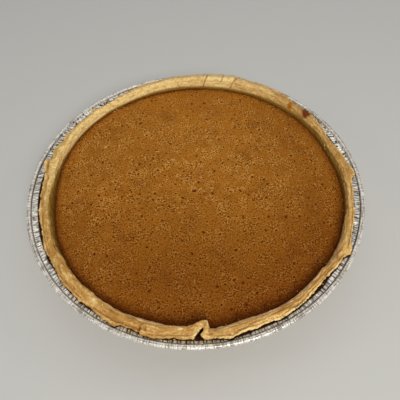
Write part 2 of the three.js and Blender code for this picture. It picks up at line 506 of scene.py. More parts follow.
@dataclass
class Graph:
    """The node tree of one material, or of the world, while it is made."""

    owner: bpy.types.Material | bpy.types.World
    tree: bpy.types.NodeTree = field(init=False)
    shader: bpy.types.Node = field(init=False)

    def __post_init__(self) -> None:
        """Starts the owner's nodes with its one shader."""
        self.owner.use_nodes = True
        self.tree = self.owner.node_tree
        self.shader = next(n for n in self.tree.nodes if n.type in {"BSDF_PRINCIPLED", "BACKGROUND"})

    @classmethod
    def material(cls, name: str) -> "Graph":
        """The graph of a new material."""
        return cls(bpy.data.materials.new(name))

    def feed(self, socket: bpy.types.NodeSocket, value: Any) -> None:
        """Sets a socket, or links it.

        Args:
            socket: the socket.
            value: its value or its link.
        """
        if isinstance(value, Link):
            self.tree.links.new(value.socket, socket)
        else:
            socket.default_value = value

    def node(self, kind: str, settings: dict[str, Any], inputs: dict[Any, Any], output: Any = 0) -> Link:
        """Adds a node.

        Args:
            kind: the node's type.
            settings: its own settings, set first.
            inputs: values or links, by the socket's name or number.
            output: the output to go on with.

        Returns:
            That output.
        """
        made = self.tree.nodes.new(kind)
        for key, value in settings.items():
            setattr(made, key, value)
        for key, value in inputs.items():
            self.feed(made.inputs[key], value)
        return Link(self, made.outputs[output])

    def math(self, operation: str, first: Any, second: Any) -> Link:
        """Adds a Math node for one operation."""
        return self.node("ShaderNodeMath", {"operation": operation}, {0: first, 1: second})

    def vector(self, operation: str, *values: Any, output: str = "Vector") -> Link:
        """Adds a Vector Math node for one operation."""
        return self.node("ShaderNodeVectorMath", {"operation": operation}, dict(enumerate(values)), output)

    def place(self) -> Link:
        """Object coordinates in millimetres."""
        return self.vector("MULTIPLY", self.node("ShaderNodeTexCoord", {}, {}, "Object"), (1.0 / MM,) * 3)

    def attribute(self, name: str) -> Link:
        """A number that the piece's mesh carries."""
        return self.node("ShaderNodeAttribute", {"attribute_name": name}, {}, "Fac")

    def noise(self, length: float, detail: float = 2.0, roughness: float = 0.5, shift: float = 0.0) -> Link:
        """Noise from 0 to 1.

        Args:
            length: size of its features, in millimetres.
            detail: how many finer layers it has.
            roughness: how strong they are.
            shift: moves the pattern, so that each use differs.

        Returns:
            The noise.
        """
        where = self.vector("ADD", self.place(), (shift, -shift, 2 * shift))
        inputs = {"Vector": where, "Scale": 1.0 / length, "Detail": detail, "Roughness": roughness}
        return self.node("ShaderNodeTexNoise", {"noise_dimensions": "3D"}, inputs)

    def streaks(self, length: float, width: float, detail: float = 2.0, shift: float = 0.0) -> Link:
        """Noise from 0 to 1 drawn out round the pie.

        Args:
            length: length of its features round the pie, in millimetres.
            width: their width across the rim, in millimetres.
            detail: the noise's detail.
            shift: moves the pattern, so that each use differs.

        Returns:
            The noise.
        """
        flat = self.vector("MULTIPLY", self.place(), (1.0, 1.0, 0.0))
        turned = self.vector("MULTIPLY", self.vector("NORMALIZE", flat), (RIM / length, RIM / length, 0.0))
        upright = self.vector("MULTIPLY", self.place(), (0.0, 0.0, 1.0 / width))
        radius = self.vector("LENGTH", flat, output="Value")
        where = {"Vector": self.vector("ADD", turned, upright), "W": radius * (1.0 / width) + shift}
        inputs = {**where, "Scale": 1.0, "Detail": detail, "Roughness": 0.55}
        return self.node("ShaderNodeTexNoise", {"noise_dimensions": "4D"}, inputs)

    def blend(self, share: Any, first: Any, second: Any, mode: str = "MIX") -> Link:
        """A colour between two colours, or one laid over the other in another mode."""
        settings = {"data_type": "RGBA", "blend_type": mode, "clamp_factor": True}
        return self.node("ShaderNodeMix", settings, {0: share, 6: first, 7: second}, 2)

    def layered(self, colour: Any, *layers: Sequence[Any]) -> Link:
        """A colour with others laid over it.

        Args:
            colour: the lowest colour.
            layers: for each layer its share, its colour and, where it isn't a plain mix, its mode.

        Returns:
            The colour that shows.
        """
        for share, *over in layers:
            colour = self.blend(share, colour, *over)
        return colour

    def bump(self, height: Any, depth: float, under: Link | None = None) -> Link:
        """A bump of a depth in millimetres, on top of another one if given."""
        below = {} if under is None else {"Normal": under}
        return self.node("ShaderNodeBump", {}, {"Height": height, "Distance": depth * MM, **below})

    def finish(self, **sockets: Any) -> Any:
        """Feeds the shader.

        Args:
            sockets: values or links by the socket's name, with _ for each space in it.

        Returns:
            The material or world.
        """
        for key, value in sockets.items():
            self.feed(self.shader.inputs[key.replace("_", " ")], value)
        return self.owner


# ---------------------------------------------------------------- finishes


@dataclass(frozen=True)
class FoilFinish:
    """Bright pressed aluminium foil, crumpled fine, dull in patches; painted glints, reflections and shade.
    """

    bright: Colour = srgb(248, 239, 226)
    dull: Colour = srgb(230, 220, 206)
    # Painted reflection: the grey of facets, strokes and streaks that mirror dark surroundings.
    dark: Colour = srgb(112, 105, 94)
    # Painted shade in the creases and the groove, also used for the dark side of the painted facets.
    crease: Colour = srgb(42, 32, 22)
    glint: Colour = srgb(255, 253, 246)
    # Painted reflection of the pastry, with its shade, in the flange next to it.
    pastry_reflection: Colour = srgb(200, 170, 122)
    # Painted shadow in the gap under the pastry's lip and in the hole under the pleat.
    gap_shadow: Colour = srgb(46, 20, 6)
    metal: float = 0.28

    def make(self) -> bpy.types.Material:
        """Mixes the foil's material.

        Returns:
            The material.
        """
        graph = Graph.material("pressed_foil")
        read, streaks = graph.attribute, graph.streaks
        patches, mottle = graph.noise(4.0), graph.noise(0.9, 1.0, shift=13.0)
        crease, gap_shadow, beaded, dark_reflection = read("crease"), read("gap_shadow"), read("beaded"), read("dark_reflection")
        strokes, stroked = streaks(0.75, 5.0, 2.0, 5.0), read("stroked")
        bands, banded = streaks(1.7, 6.0, 0.5, 21.0), read("banded")
        sparks, glints = stroked * strokes.above(0.53, 0.03), banded * bands.above(0.47, 0.03)
        # Painted dark reflection, in blots on the darker blocks.
        dark_reflection_blots = (dark_reflection - beaded) * streaks(1.7, 3.0, 1.0, 8.0).below(0.5, 0.06)
        colour = graph.layered(
            self.dull,
            (patches.above(0.4, 0.2), self.bright),
            ((dark_reflection + 0.5 * (mottle - 0.5)).above(0.25, 0.7) * 0.9, self.dark),
            (read("pastry_reflection"), self.pastry_reflection),
            (read("lit") * mottle.above(0.3, 0.25), self.glint),
            # Painted reflections: dark and glinting strokes, dark streaks on the bead, dark and bright bands
            # of facets.
            (stroked * strokes.below(0.48, 0.03) * 0.95, self.dark),
            (sparks, self.glint),
            (beaded * streaks(9.0, 0.55, 1.0, 61.0).below(0.46, 0.06) * 0.75, self.dark),
            (banded * bands.below(0.45, 0.04) * 0.95, self.crease),
            (glints, self.glint),
            (dark_reflection_blots.above(0.35, 0.4) * 0.8, self.crease),
            (crease, self.crease),
            (gap_shadow, self.gap_shadow),
        )
        crumple = graph.bump(graph.noise(1.1, shift=31.0), 0.2)
        clean = self.metal * (1.0 - 0.9 * crease) * (1.0 - gap_shadow)
        return graph.finish(
            Base_Color=colour,
            Metallic=clean * (1.0 - glints) * (1.0 - 0.7 * sparks),
            Roughness=0.16 + 0.16 * patches + 0.3 * crease + 0.3 * gap_shadow,
            Normal=graph.bump(streaks(9.0, 0.5), 0.03, under=crumple),
            Specular_IOR_Level=0.1,
        )


@dataclass(frozen=True)
class PastryFinish:
    """Baked shortcrust: cream to golden dough, brown edges, fine flaky layers, painted light and shade."""

    pale: Colour = srgb(252, 222, 150)
    cream: Colour = srgb(230, 190, 122)
    blush: Colour = srgb(255, 208, 154)
    ashen: Colour = srgb(206, 181, 138)
    golden: Colour = srgb(208, 161, 88)
    tan: Colour = srgb(188, 138, 68)
    brown: Colour = srgb(144, 94, 34)
    # Darker dough soaking up custard along its line, with painted shade there; darkest at the very bottom.
    soak_and_shade: Colour = srgb(134, 98, 22)
    wet_and_shade: Colour = srgb(96, 56, 0)
    # Painted shade under the lip.
    underside: Colour = srgb(66, 38, 14)
    scorched: Colour = srgb(120, 56, 16)
    toasted: Colour = srgb(176, 106, 14)

    def make(self) -> bpy.types.Material:
        """Mixes the pastry's material.

        Returns:
            The material.
        """
        graph = Graph.material("baked_pastry")
        read, streaks = graph.attribute, graph.streaks
        grain, outer = graph.noise(1.0, 3.0, 0.65, shift=17.0), read("outer")
        flakes, mottle = streaks(4.5, 0.9, 3.0), streaks(5.0, 1.6, 3.0, 53.0)
        tufts = streaks(1.3, 5.0, 2.0, 9.0)
        baked = read("baked") + 1.1 * (flakes - 0.5) + 1.2 * (grain - 0.5) + 0.5 * (mottle - 0.5)
        dabs = 0.5 * mottle.above(0.37, 0.28) + 0.5 * graph.noise(1.4, 2.0, 0.6, shift=91.0).above(0.43, 0.14)
        soak_and_shade = read("soak_and_shade") + 0.35 * (flakes - 0.5)
        colour = graph.layered(
            self.golden,
            (graph.noise(2.8, 4.0, 0.65).above(0.45, 0.12), self.cream),
            (baked.above(0.2, 0.4), self.tan),
            (baked.above(0.7, 0.45), self.brown),
            # Paler dough, and painted light where the rim faces the lamp and on its lit edges.
            (read("light") * 2.1 * dabs * (0.5 + flakes), self.pale),
            (read("blushed") * mottle.above(0.3, 0.3), self.blush),
            (read("ashen"), self.ashen),
            (outer * tufts.above(0.52, 0.1) * 0.75, self.pale),
            (outer * tufts.below(0.47, 0.1) * 0.5, self.brown),
            (soak_and_shade.above(0.06, 0.62) * 0.9, self.soak_and_shade),
            (soak_and_shade.above(0.75, 0.3), self.wet_and_shade),
            (read("seam"), self.brown),
            # Painted shade under the lip.
            (read("underside"), self.underside),
            (read("toasted"), self.toasted),
            (read("scorched"), self.scorched),
        )
        rough = graph.bump(outer * tufts, 0.4, under=graph.bump(grain, 0.3))
        normal = graph.bump(flakes, 0.4, under=rough)
        roughness = 0.6 + 0.15 * grain
        return graph.finish(Base_Color=colour, Roughness=roughness, Normal=normal, Specular_IOR_Level=0.15)


@dataclass(frozen=True)
class CustardFinish:
    """Set pumpkin custard: matt orange-brown skin, pale flecks, painted shade and glints at pits, dark edge.
    """

    skin: Colour = srgb(164, 101, 25)
    pale: Colour = srgb(172, 108, 30)
    deep: Colour = srgb(132, 74, 18)
    # Dark edge colour: partly browning, partly painted shadow of the rim, widest at the front.
    edge: Colour = srgb(97, 40, 0)
    # Painted shade in the pits.
    pit: Colour = srgb(100, 38, 0)
    speck: Colour = srgb(176, 148, 74)
    # Pale flecks, and painted highlights on the pits' rims.
    fleck_and_glint: Colour = srgb(228, 170, 86)

    def make(self) -> bpy.types.Material:
        """Mixes the custard's material.

        Returns:
            The material.
        """
        graph = Graph.material("set_custard")
        read, noised = graph.attribute, graph.noise
        browned_and_shadow, grain = read("browned_and_shadow"), noised(1.3, 2.0, 0.6, shift=11.0)
        fine, pale = noised(0.95, 1.0, shift=83.0), noised(0.9, 1.0, shift=71.0)
        cluster = noised(8.0, 2.0, 0.6, shift=5.0).above(0.42, 0.16) * (1.0 - read("calm"))
        lively = read("lively") * (1.0 - 0.6 * browned_and_shadow)
        colour = graph.layered(
            self.skin,
            (noised(38.0).above(0.42, 0.2), self.pale),
            (noised(17.0, 3.0, 0.6, shift=47.0).above(0.5, 0.2) * 0.5, self.deep),
            (browned_and_shadow, self.edge),
            (grain.above(0.54, 0.12) * 0.4, self.speck, "MULTIPLY"),
            (fine.above(0.52, 0.06) * (0.42 + 0.7 * cluster), self.speck, "MULTIPLY"),
            (fine.below(0.45, 0.08) * (0.12 + 0.24 * cluster) * (0.4 + 0.7 * lively), self.fleck_and_glint),
            (pale.above(0.56, 0.06) * lively * (0.25 + 0.7 * cluster), self.fleck_and_glint),
            # Painted highlights on the pits' rims.
            (read("fleck_and_glint") * (0.2 + 0.8 * lively), self.fleck_and_glint),
            # Painted shade in the pits.
            (read("pit"), self.pit),
        )
        normal = graph.bump(grain, 0.3, under=graph.bump(noised(4.0, shift=23.0), 0.25))
        roughness = 0.5 + 0.12 * grain
        return graph.finish(Base_Color=colour, Roughness=roughness, Normal=normal, Specular_IOR_Level=0.03)


@dataclass(frozen=True)
class FloorFinish:
    """A plain pale tabletop."""

    colour: Colour = srgb(204, 202, 197)

    def make(self) -> bpy.types.Material:
        """The floor's material."""
        return Graph.material("pale_floor").finish(Base_Color=self.colour, Roughness=0.6)


# ---------------------------------------------------------------- foil pan


@dataclass(frozen=True)
class Crimps:
    """Where the pan's points lie among its creases.

    Each point has its angle and radius, the block between two creases that it is in, its share of the way
    across that block, how deep it lies in a crease, and 1 where it is on the flange and on the bead.
    """

    angle: Array
    radius: Array
    block: Array
    share: Array
    valley: Array
    flange: Array
    bead: Array


@dataclass(frozen=True)
class FoilPan:
    """The pressed foil pan: plain bottom and wall, and a crimped flange with its rolled bead."""

    form: PieForm
    rim_steps: int = 2800
    body_steps: int = 240
    flange_points: int = 8
    wall_points: int = 6
    bead_width: float = 3.1
    bead_rise: float = 1.3
    bead_sag: float = 1.6
    bead_points: int = 15
    bead_from: float = 172.0
    bead_to: float = -110.0
    groove: float = 0.32
    crease_count: int = 292
    crease_depth: float = 0.42
    crease_width: float = 0.34
    crease_slant: float = 0.42
    crease_jitter: float = 0.3
    block_height: float = 0.13
    block_tilt: float = 0.22
    wall_depth: float = 0.2
    wall_from: float = 4.0
    wall_run: float = 24.0
    flange_start: float = 1.2
    flange_end: float = 0.9
    bead_start: float = 0.6
    bead_lift: float = 0.35
    bead_bulge: float = 0.05
    shown_depth: float = 1.4
    bead_crimp: float = 0.2
    bead_dents: float = 0.12
    # Painted shade in the groove and creases: its width, where it breaks up, and how dark the creases are.
    gully: Profile = around(0.15, (335.0, 36.0, 0.09), (25.0, 30.0, 0.1), (152.0, 22.0, 0.3))
    broken: Profile = around(0.0, (20.0, 26.0, 1.0), (143.0, 22.0, 1.0))
    softness: Profile = around(
        1.0, (196.0, 20.0, -0.6), (130.0, 18.0, -0.7), (297.0, 18.0, -0.45), (15.0, 12.0, -0.5)
    )
    # Where the pastry's painted reflection in the flange is strongest.
    pastry_reflection_front: Profile = around(0.0, (266.0, 34.0, 1.0))
    # Painted shadow under the lip: how far past it it reaches, how strong round the pie, its edge under the
    # pleat.
    gap_shadow_reach: Profile = around(
        0.15,
        (188.0, 16.0, 0.35), (207.0, 8.0, 0.6), (121.0, 4.0, 0.8), (235.0, 3.0, 0.4), (254.0, 14.0, -0.3),
        (212.0, 4.0, 0.5), (288.0, 7.0, 0.7), (312.0, 8.0, 1.5), (343.0, 10.0, 0.6),
    )
    gap_shadow_strength: Profile = around(1.0, (84.0, 38.0, -0.7))
    notch_shadow: float = 117.2
    # Where the painted dark reflections, glints and strokes lie round the pie.
    front: Profile = around(0.0, (268.0, 30.0, 1.0))
    left: Profile = around(0.0, (198.0, 26.0, 1.0))
    rear: Profile = around(0.0, (152.0, 22.0, 1.0), (28.0, 20.0, 1.0))
    clean: Profile = around(1.0, (305.0, 30.0, -0.6))
    dark_rim: Profile = around(0.0, (20.0, 26.0, 0.9))
    bead_dark_reflection: Profile = around(0.7, (268.0, 30.0, -0.1), (260.0, 9.0, 0.2), (140.0, 36.0, -0.4))
    strokes: Profile = around(0.8, (198.0, 26.0, 0.2), (268.0, 30.0, -0.5))
    bead_strokes: Profile = around(0.45, (285.0, 22.0, 0.2))
    bands: Profile = around(0.0, (14.0, 12.0, 1.0), (40.0, 5.0, 1.0), (135.0, 26.0, 1.0))
    seed: int = 7

    @property
    def bead_foot(self) -> float:
        """Radius of the groove where the flange ends and the bead starts."""
        return self.form.pan_radius - self.bead_width

    @property
    def bead_middle(self) -> float:
        """Radius of the bead's top."""
        return self.form.pan_radius - self.bead_width / 2

    def rim_section(self) -> list[tuple[float, float]]:
        """The rim's section, from the wall's top over the bead and back under the flange.

        Returns:
            Radius and height of each point.
        """
        form, groove, inner = self.form, self.groove, self.bead_foot
        top, foil = form.flange_top, form.foil
        first, last = form.pan_mouth + form.mouth_bend, inner - 1.3 * groove
        wall_top = (form.pan_wall(top - form.mouth_bend), top - form.mouth_bend)
        steps = self.flange_points
        flange = [(mix(first, last, i / (steps - 1)), top) for i in range(steps)]
        dip = [(mix(last, inner, 0.5), top - 0.75 * groove), (inner, top - groove)]
        turned_in = (inner - foil, form.rim_height - self.bead_sag)
        below = [(inner - foil - groove, -groove), (last - foil, 0.0), (first + foil / 2, 0.0)]
        return [wall_top, *flange, *dip, *self.bead(), turned_in, *((r, top - foil + h) for r, h in below)]

    def bead(self) -> list[tuple[float, float]]:
        """The rolled bead's section, from its foot in the groove over the top and back under.

        Returns:
            Radius and height of each point.
        """
        points = []
        for i in range(self.bead_points):
            turn = math.radians(mix(self.bead_from, self.bead_to, i / (self.bead_points - 1)))
            out = math.cos(turn) * self.bead_width / 2
            rise = math.sin(turn) * (self.bead_rise if turn > 0 else self.bead_sag)
            points.append((self.bead_middle + out, self.form.rim_height + rise))
        return points

    def build(self) -> Object:
        """The pan: a ring extruded round the rim's section, bridged to the plain wall and bottom.

        Returns:
            The piece.
        """
        form, rim = self.form, self.rim_section()
        tread, centre = form.pan_floor - form.corner, form.pan_floor * 0.5
        heights = np.linspace(form.flange_top - 3.0, form.foil + form.corner, self.wall_points)
        wall = [(form.pan_wall(h), h) for h in heights]
        inside = [*wall, (tread, form.foil), (centre, form.foil)]
        outside = [(r + form.foil, h - form.foil / 2) for r, h in wall]
        outside += [(tread + form.foil / 2, 0.0), (centre, 0.0)]
        rim_ring = self.extruded_rings(self.rim_steps, rim, close=False)
        rings = [self.extruded_rings(self.body_steps, section, close=True) for section in (inside, outside)]
        pick(*rings, rim_ring)
        bpy.ops.object.join()
        pan = active()
        pan.name = pan.data.name = "pressed_foil_pan"
        self.bridge(pan, rim[0][1], inside[0][1])
        self.bridge(pan, rim[-1][1], outside[0][1])
        bpy.ops.object.mode_set(mode="EDIT")
        bpy.ops.mesh.select_all(action="SELECT")
        bpy.ops.mesh.normals_make_consistent(inside=False)
        bpy.ops.object.mode_set(mode="OBJECT")
        self.crimp(pan)
        pick(pan)
        bpy.ops.object.shade_smooth()
        return pan

    @staticmethod
    def extruded_rings(steps: int, section: Sequence[tuple[float, float]], close: bool) -> Object:
        """Extrudes a circle along a section.

        Args:
            steps: vertices round the circle.
            section: radius and height of each ring, in millimetres.
            close: whether the last ring is closed at the axis.

        Returns:
            The object made.
        """
        radius, height = section[0]
        pick()
        bpy.ops.mesh.primitive_circle_add(vertices=steps, radius=radius * MM, location=(0, 0, 0))
        bpy.ops.object.mode_set(mode="EDIT")
        bpy.ops.mesh.select_all(action="SELECT")
        bpy.ops.transform.translate(value=(0, 0, height * MM))
        for next_radius, next_height in section[1:]:
            step, factor = (next_height - height) * MM, next_radius / radius
            bpy.ops.mesh.extrude_edges_move(TRANSFORM_OT_translate={"value": (0, 0, step)})
            bpy.ops.transform.resize(value=(factor, factor, 1.0), center_override=(0, 0, next_height * MM))
            radius, height = next_radius, next_height
        if close:
            bpy.ops.mesh.extrude_edges_move()
            bpy.ops.mesh.merge(type="CENTER")
        bpy.ops.object.mode_set(mode="OBJECT")
        return active()

    @staticmethod
    def bridge(pan: Object, first: float, second: float) -> None:
        """Bridges two open edges of the pan.

        Args:
            pan: the pan.
            first: height of the one edge, in millimetres.
            second: height of the other edge.
        """
        bpy.ops.object.mode_set(mode="EDIT")
        bpy.ops.mesh.select_mode(type="EDGE")
        bpy.ops.mesh.select_all(action="DESELECT")
        mesh = bmesh.from_edit_mesh(pan.data)
        for edge in mesh.edges:
            if edge.is_boundary:
                height = (edge.verts[0].co.z + edge.verts[1].co.z) / 2 / MM
                edge.select = min(abs(height - first), abs(height - second)) < 0.01
        bmesh.update_edit_mesh(pan.data)
        bpy.ops.mesh.bridge_edge_loops()
        bpy.ops.object.mode_set(mode="OBJECT")

    def creases(self, draw: Draw, angle: Array, radius: Array, across: Array) -> tuple[Array, ...]:
        """Draws the creases and the bent blocks between them.

        Args:
            draw: random numbers.
            angle: angle of each point.
            radius: radius of each point.
            across: way of each point across the flange, from -0.5 to 0.5.

        Returns:
            For each point its block, its share of the way across it, how deep it lies in a crease, its
            block's lift and how far it is pressed up in all.
        """
        count, pitch = self.crease_count, 360.0 / self.crease_count
        number = np.arange(count)
        at = (number + draw.uniform(-self.crease_jitter, self.crease_jitter, count)) * pitch
        zigzag = np.where(number % 2 == 0, 1.0, -1.0)
        slant = zigzag * draw.uniform(-0.25, 1.0, count) * self.crease_slant * pitch
        depth = draw.uniform(0.35, 1.0, count)
        lift = draw.normal(0.0, self.block_height, count)
        tilt = draw.normal(0.0, self.block_tilt, count)
        tip = draw.normal(0.0, self.block_tilt, count)
        unslanted = angle - np.interp(angle, at, slant, period=360.0) * 2.0 * across
        ends = np.concatenate([at[-1:] - 360.0, at, at[:1] + 360.0])
        place = np.interp(unslanted, ends, np.arange(-1, count + 1))
        block, share = np.floor(place).astype(int) % count, place - np.floor(place)
        nearest = np.where(share < 0.5, block, (block + 1) % count)
        apart = np.minimum(share, 1.0 - share) * math.radians(pitch) * radius
        valley = bell(apart, self.crease_width) * depth[nearest]
        press = lift[block] + tilt[block] * (share - 0.5) * 2.0 + tip[block] * across
        return block, share, valley, lift[block], press - self.crease_depth * valley

    def crimp(self, pan: Object) -> None:
        """Presses the creases into the flange, bead and wall, lets the rim sag and stores the marks.

        Args:
            pan: the plain pan.
        """
        form, foot = self.form, self.bead_foot
        draw = np.random.default_rng(self.seed)
        points = np.zeros(len(pan.data.vertices) * 3)
        pan.data.vertices.foreach_get("co", points)
        points = points.reshape(-1, 3) / MM
        radius, angle = polar(points)
        across = (radius - (form.pan_mouth + foot) / 2) / (foot - form.pan_mouth)
        block, share, valley, lift, press = self.creases(draw, angle, radius, across)
        begun = (radius - form.pan_mouth) / self.flange_start
        flange = ease(begun) * fade((radius - foot + self.flange_end) / self.flange_end)
        bead = ease((radius - foot) / self.bead_start)
        wall = ease((points[:, 2] - self.wall_from) / self.wall_run) * fade(begun)
        points[:, 2] += flange * press
        ripple = -self.bead_crimp * valley + self.bead_lift * lift
        ripple += self.bead_dents * rim_noise(angle, 2.2, points[:, 2])
        out = np.stack([radius - self.bead_middle, points[:, 2] - form.rim_height], axis=1)
        out /= np.maximum(np.linalg.norm(out, axis=1, keepdims=True), 1e-6)
        grown = radius + bead * ripple * out[:, 0] - self.wall_depth * wall * valley
        points[:, 2] += bead * ripple * out[:, 1]
        sagged = hump(angle, form.sag_angle, form.sag_spread)
        sagged *= ease((radius - form.pan_mouth - form.sag_from) / form.sag_run)
        points[:, 2] -= form.sag * sagged
        grown = np.minimum(grown, form.pan_radius + self.bead_bulge) - form.sag_inwards * sagged
        points[:, :2] *= np.where(radius > 1.0, grown / np.maximum(radius, 1.0), 1.0)[:, None]
        pan.data.vertices.foreach_set("co", (points * MM).ravel())
        pan.data.update()
        shown = (points[:, 2] > form.flange_top - self.shown_depth) * 1.0
        crimps = Crimps(angle, radius, block, share, valley, shown * flange, shown * bead)
        store(pan, {**self.marks(crimps, shown), **self.shine(crimps, draw)})

    def marks(self, crimps: Crimps, shown: Array) -> Marks:
        """Works out the foil's painted shade in creases and groove, painted pastry reflection and lip shadow.

        Args:
            crimps: where the pan's points lie.
            shown: 1 on the rim's upper side.

        Returns:
            Numbers for the foil's material, by name.
        """
        form, angle, radius, bead = self.form, crimps.angle, crimps.radius, crimps.bead
        kept = mix(1.0, limited(0.35 + 1.7 * rim_noise(angle, 1.3, 31.0)), self.broken(angle))
        # Painted shade: the dark line of the groove and the dark creases.
        groove = shown * kept * bell(radius - self.bead_foot + 0.05, self.gully(angle))
        creased = (1.8 * self.softness(angle) * crimps.flange + 0.2 * bead) * crimps.valley
        away = radius - np.maximum(form.pastry_edge(angle), form.pan_mouth + 0.4)
        # Painted reflection of the pastry in the flange, strongest at the front.
        front = self.pastry_reflection_front(angle)
        pastry_reflection = 0.1 + 0.8 * front + 0.35 * rim_noise(angle, 8.0, radius / 3.0)
        pastry_reflection *= fade((away - 0.8 - 3.0 * front) / 1.5) * fade((radius - self.bead_foot) / self.bead_start)
        # Painted shadow in the gap under the lip, and in the hole under the pleat.
        under_lip_shadow = fade((away - self.gap_shadow_reach(angle)) / 0.35) * self.gap_shadow_strength(angle)
        hole = ease(2.0 - np.abs(angle - form.pleat.start - 1.7)) * fade((radius - self.notch_shadow) / 0.6)
        gap_shadow = shown * np.maximum(under_lip_shadow, hole)
        return {"crease": limited(creased + groove), "pastry_reflection": limited(pastry_reflection), "gap_shadow": limited(gap_shadow)}

    def shine(self, crimps: Crimps, draw: Draw) -> Marks:
        """Works out the crimped foil's painted dark reflections and painted glints.

        Args:
            crimps: where the pan's points lie.
            draw: random numbers.

        Returns:
            Numbers for the foil's material, by name.
        """
        angle, radius, flange, bead = crimps.angle, crimps.radius, crimps.flange, crimps.bead
        deep = draw.uniform(0.0, 1.0, self.crease_count)[crimps.block]
        glint = draw.uniform(0.0, 1.0, self.crease_count)[crimps.block] ** 0.7
        front, left, banded = self.front(angle), self.left(angle), flange * self.bands(angle)
        outside = 0.7 * ease((deep - 0.45) / 0.3) * ease((radius - 113.5) / 1.5)
        # Painted dark reflections on some blocks of the flange and along the bead's middle.
        dark_reflection = mix(0.7 * deep, outside, self.rear(angle)) * (1.0 - 0.9 * left)
        dark_reflection *= (1.0 - 0.4 * front) * self.clean(angle) * (1.0 - 0.9 * limited(banded))
        dark_reflection += self.dark_rim(angle) * ease((radius - 117.5) / 0.8) * (0.3 + 0.7 * deep)
        past_crease = crimps.share * math.radians(360.0 / self.crease_count) * radius
        lit = flange * bell(past_crease - 0.6, 0.26) * glint * (1.0 - 0.85 * front)
        past_foot = radius - self.bead_foot
        inner = bell(past_foot - 0.8, 0.3) * (0.65 + 0.5 * rim_noise(angle, 5.0, 2.0))
        outer = bell(past_foot - 2.6, 0.3) * (0.3 + 0.7 * rim_noise(angle, 3.0, 6.0))
        uneven = 0.5 * rim_noise(angle, 3.5, radius / 0.8)
        middle = bell(past_foot - 1.7, 0.55) * (self.bead_dark_reflection(angle) + uneven)
        return {
            "stroked": limited(flange * self.strokes(angle) + bead * self.bead_strokes(angle)),
            "beaded": limited(bead * (0.85 - 0.5 * front)),
            "banded": limited(banded),
            "dark_reflection": limited(flange * dark_reflection + bead * middle),
            "lit": limited(lit + bead * np.maximum(inner, outer)),
        }


# ---------------------------------------------------------------- pastry


class Ring(Enum):
    """Named control points of the pastry's section, in order."""

    FLOOR = 0
    KNEE = 1
    FILLING_LINE = 2
    INNER_WALL = 3
    SHOULDER = 4
    CREST = 5
    OUTER_SLOPE = 6
    CREVICE = 7
    LAYER_TOP = 8
    LIP_BROW = 9
    LIP_EDGE = 10
    LIP_UNDER = 11
    REST = 12
    BEND = 13
    WALL_TOP = 14
    UPPER_WALL = 15
    WALL_FOOT = 16
    BOTTOM = 17

    def past(self, places: Array) -> Array:
        """How far past this point places across the section are."""
        return places - self.value


@dataclass(frozen=True)
class Seam:
    """A line across the rim: its angle, slant, ends across the rim, depth, ridge and width."""

    angle: float
    slant: float
    inner: float
    outer: float
    depth: float
    ridge: float
    width: float = 0.34

    def away(self, angles: Array, across: Array) -> Array:
        """How many of its widths past the seam each point is."""
        return (angles + self.slant * (across - 10.0) - self.angle) / self.width

    def reach(self, across: Array) -> Array:
        """1 along the seam, dying away at its ends."""
        return ease((across - self.inner) / 1.5) * ease((self.outer - across) / 1.5)

    def line(self, angles: Array, across: Array) -> Array:
        """1 on the seam's dark line."""
        return self.reach(across) * bell(self.away(angles, across), 1.0)

    def press(self, angles: Array, across: Array) -> Array:
        """How deep each point is pressed by the seam and its ridge."""
        ridge = self.ridge * self.reach(across) * bell(self.away(angles, across) - 2.6, 1.3)
        return self.depth * self.line(angles, across) - ridge


@dataclass(frozen=True)
class Spot:
    """A small patch of the rim: its angle, radius, half length round the pie, half width and strength."""

    angle: float
    radius: float
    half_length: float
    half_width: float
    strength: float

    def share(self, angles: Array, radii: Array) -> Array:
        """The patch's strength at each point."""
        along = np.radians(angles - self.angle) * self.radius
        return self.strength * bell(along, self.half_length) * bell(radii - self.radius, self.half_width)


@dataclass(frozen=True)
class Fold:
    """A line where an upper layer of dough ends over a lower one.

    It has the angles of its ends, its radius at its start, middle and end, its depth and its width.
    """

    start: float
    end: float
    first: float
    middle: float
    last: float
    depth: float
    width: float

    def away(self, angles: Array, radii: Array) -> Array:
        """How far outside the line each point is.

        Args:
            angles: angle of each point.
            radii: radius of each point.

        Returns:
            The distance of each point, in millimetres.
        """
        s = limited((angles - self.start) / (self.end - self.start))
        line = self.first * (1.0 - s) * (1.0 - 2.0 * s) + 4.0 * self.middle * s * (1.0 - s)
        return radii - (line + self.last * s * (2.0 * s - 1.0))

    def run(self, angles: Array) -> Array:
        """1 along the fold, dying away at its ends."""
        return ease((angles - self.start) / 1.2 + 0.5) * ease((self.end - angles) / 1.2 + 0.5)

    def press(self, angles: Array, radii: Array) -> Array:
        """How deep the fold is pressed at each point: steep on its inner side, slow on its outer one."""
        away = self.away(angles, radii)
        return self.depth * self.run(angles) * bell(away / np.where(away < 0.0, 0.6, 1.5), self.width)

    def line(self, angles: Array, radii: Array) -> Array:
        """1 on the dark line of painted shade at the fold's bottom."""
        return self.run(angles) * bell(self.away(angles, radii) - 0.05, self.width)


@dataclass(frozen=True)
class Browned:
    """A brown spot with a soft, uneven outline.

    It has its angle, its slant, its way across the rim, its half length round the pie and its half width.
    """

    angle: float
    slant: float
    middle: float
    length: float
    width: float

    def share(self, angles: Array, across: Array) -> Array:
        """Share of the spot at each point.

        Args:
            angles: angle of each point.
            across: way of each point across the rim, in millimetres.

        Returns:
            From 0 to 1 for each point.
        """
        at = self.angle + self.slant * (across - self.middle)
        away = np.hypot((angles - at) * 1.9 / self.length, (across - self.middle) / self.width)
        return fade((away + 0.1 * rim_noise(angles, 1.6, across / 1.6) - 0.75) / 0.4)


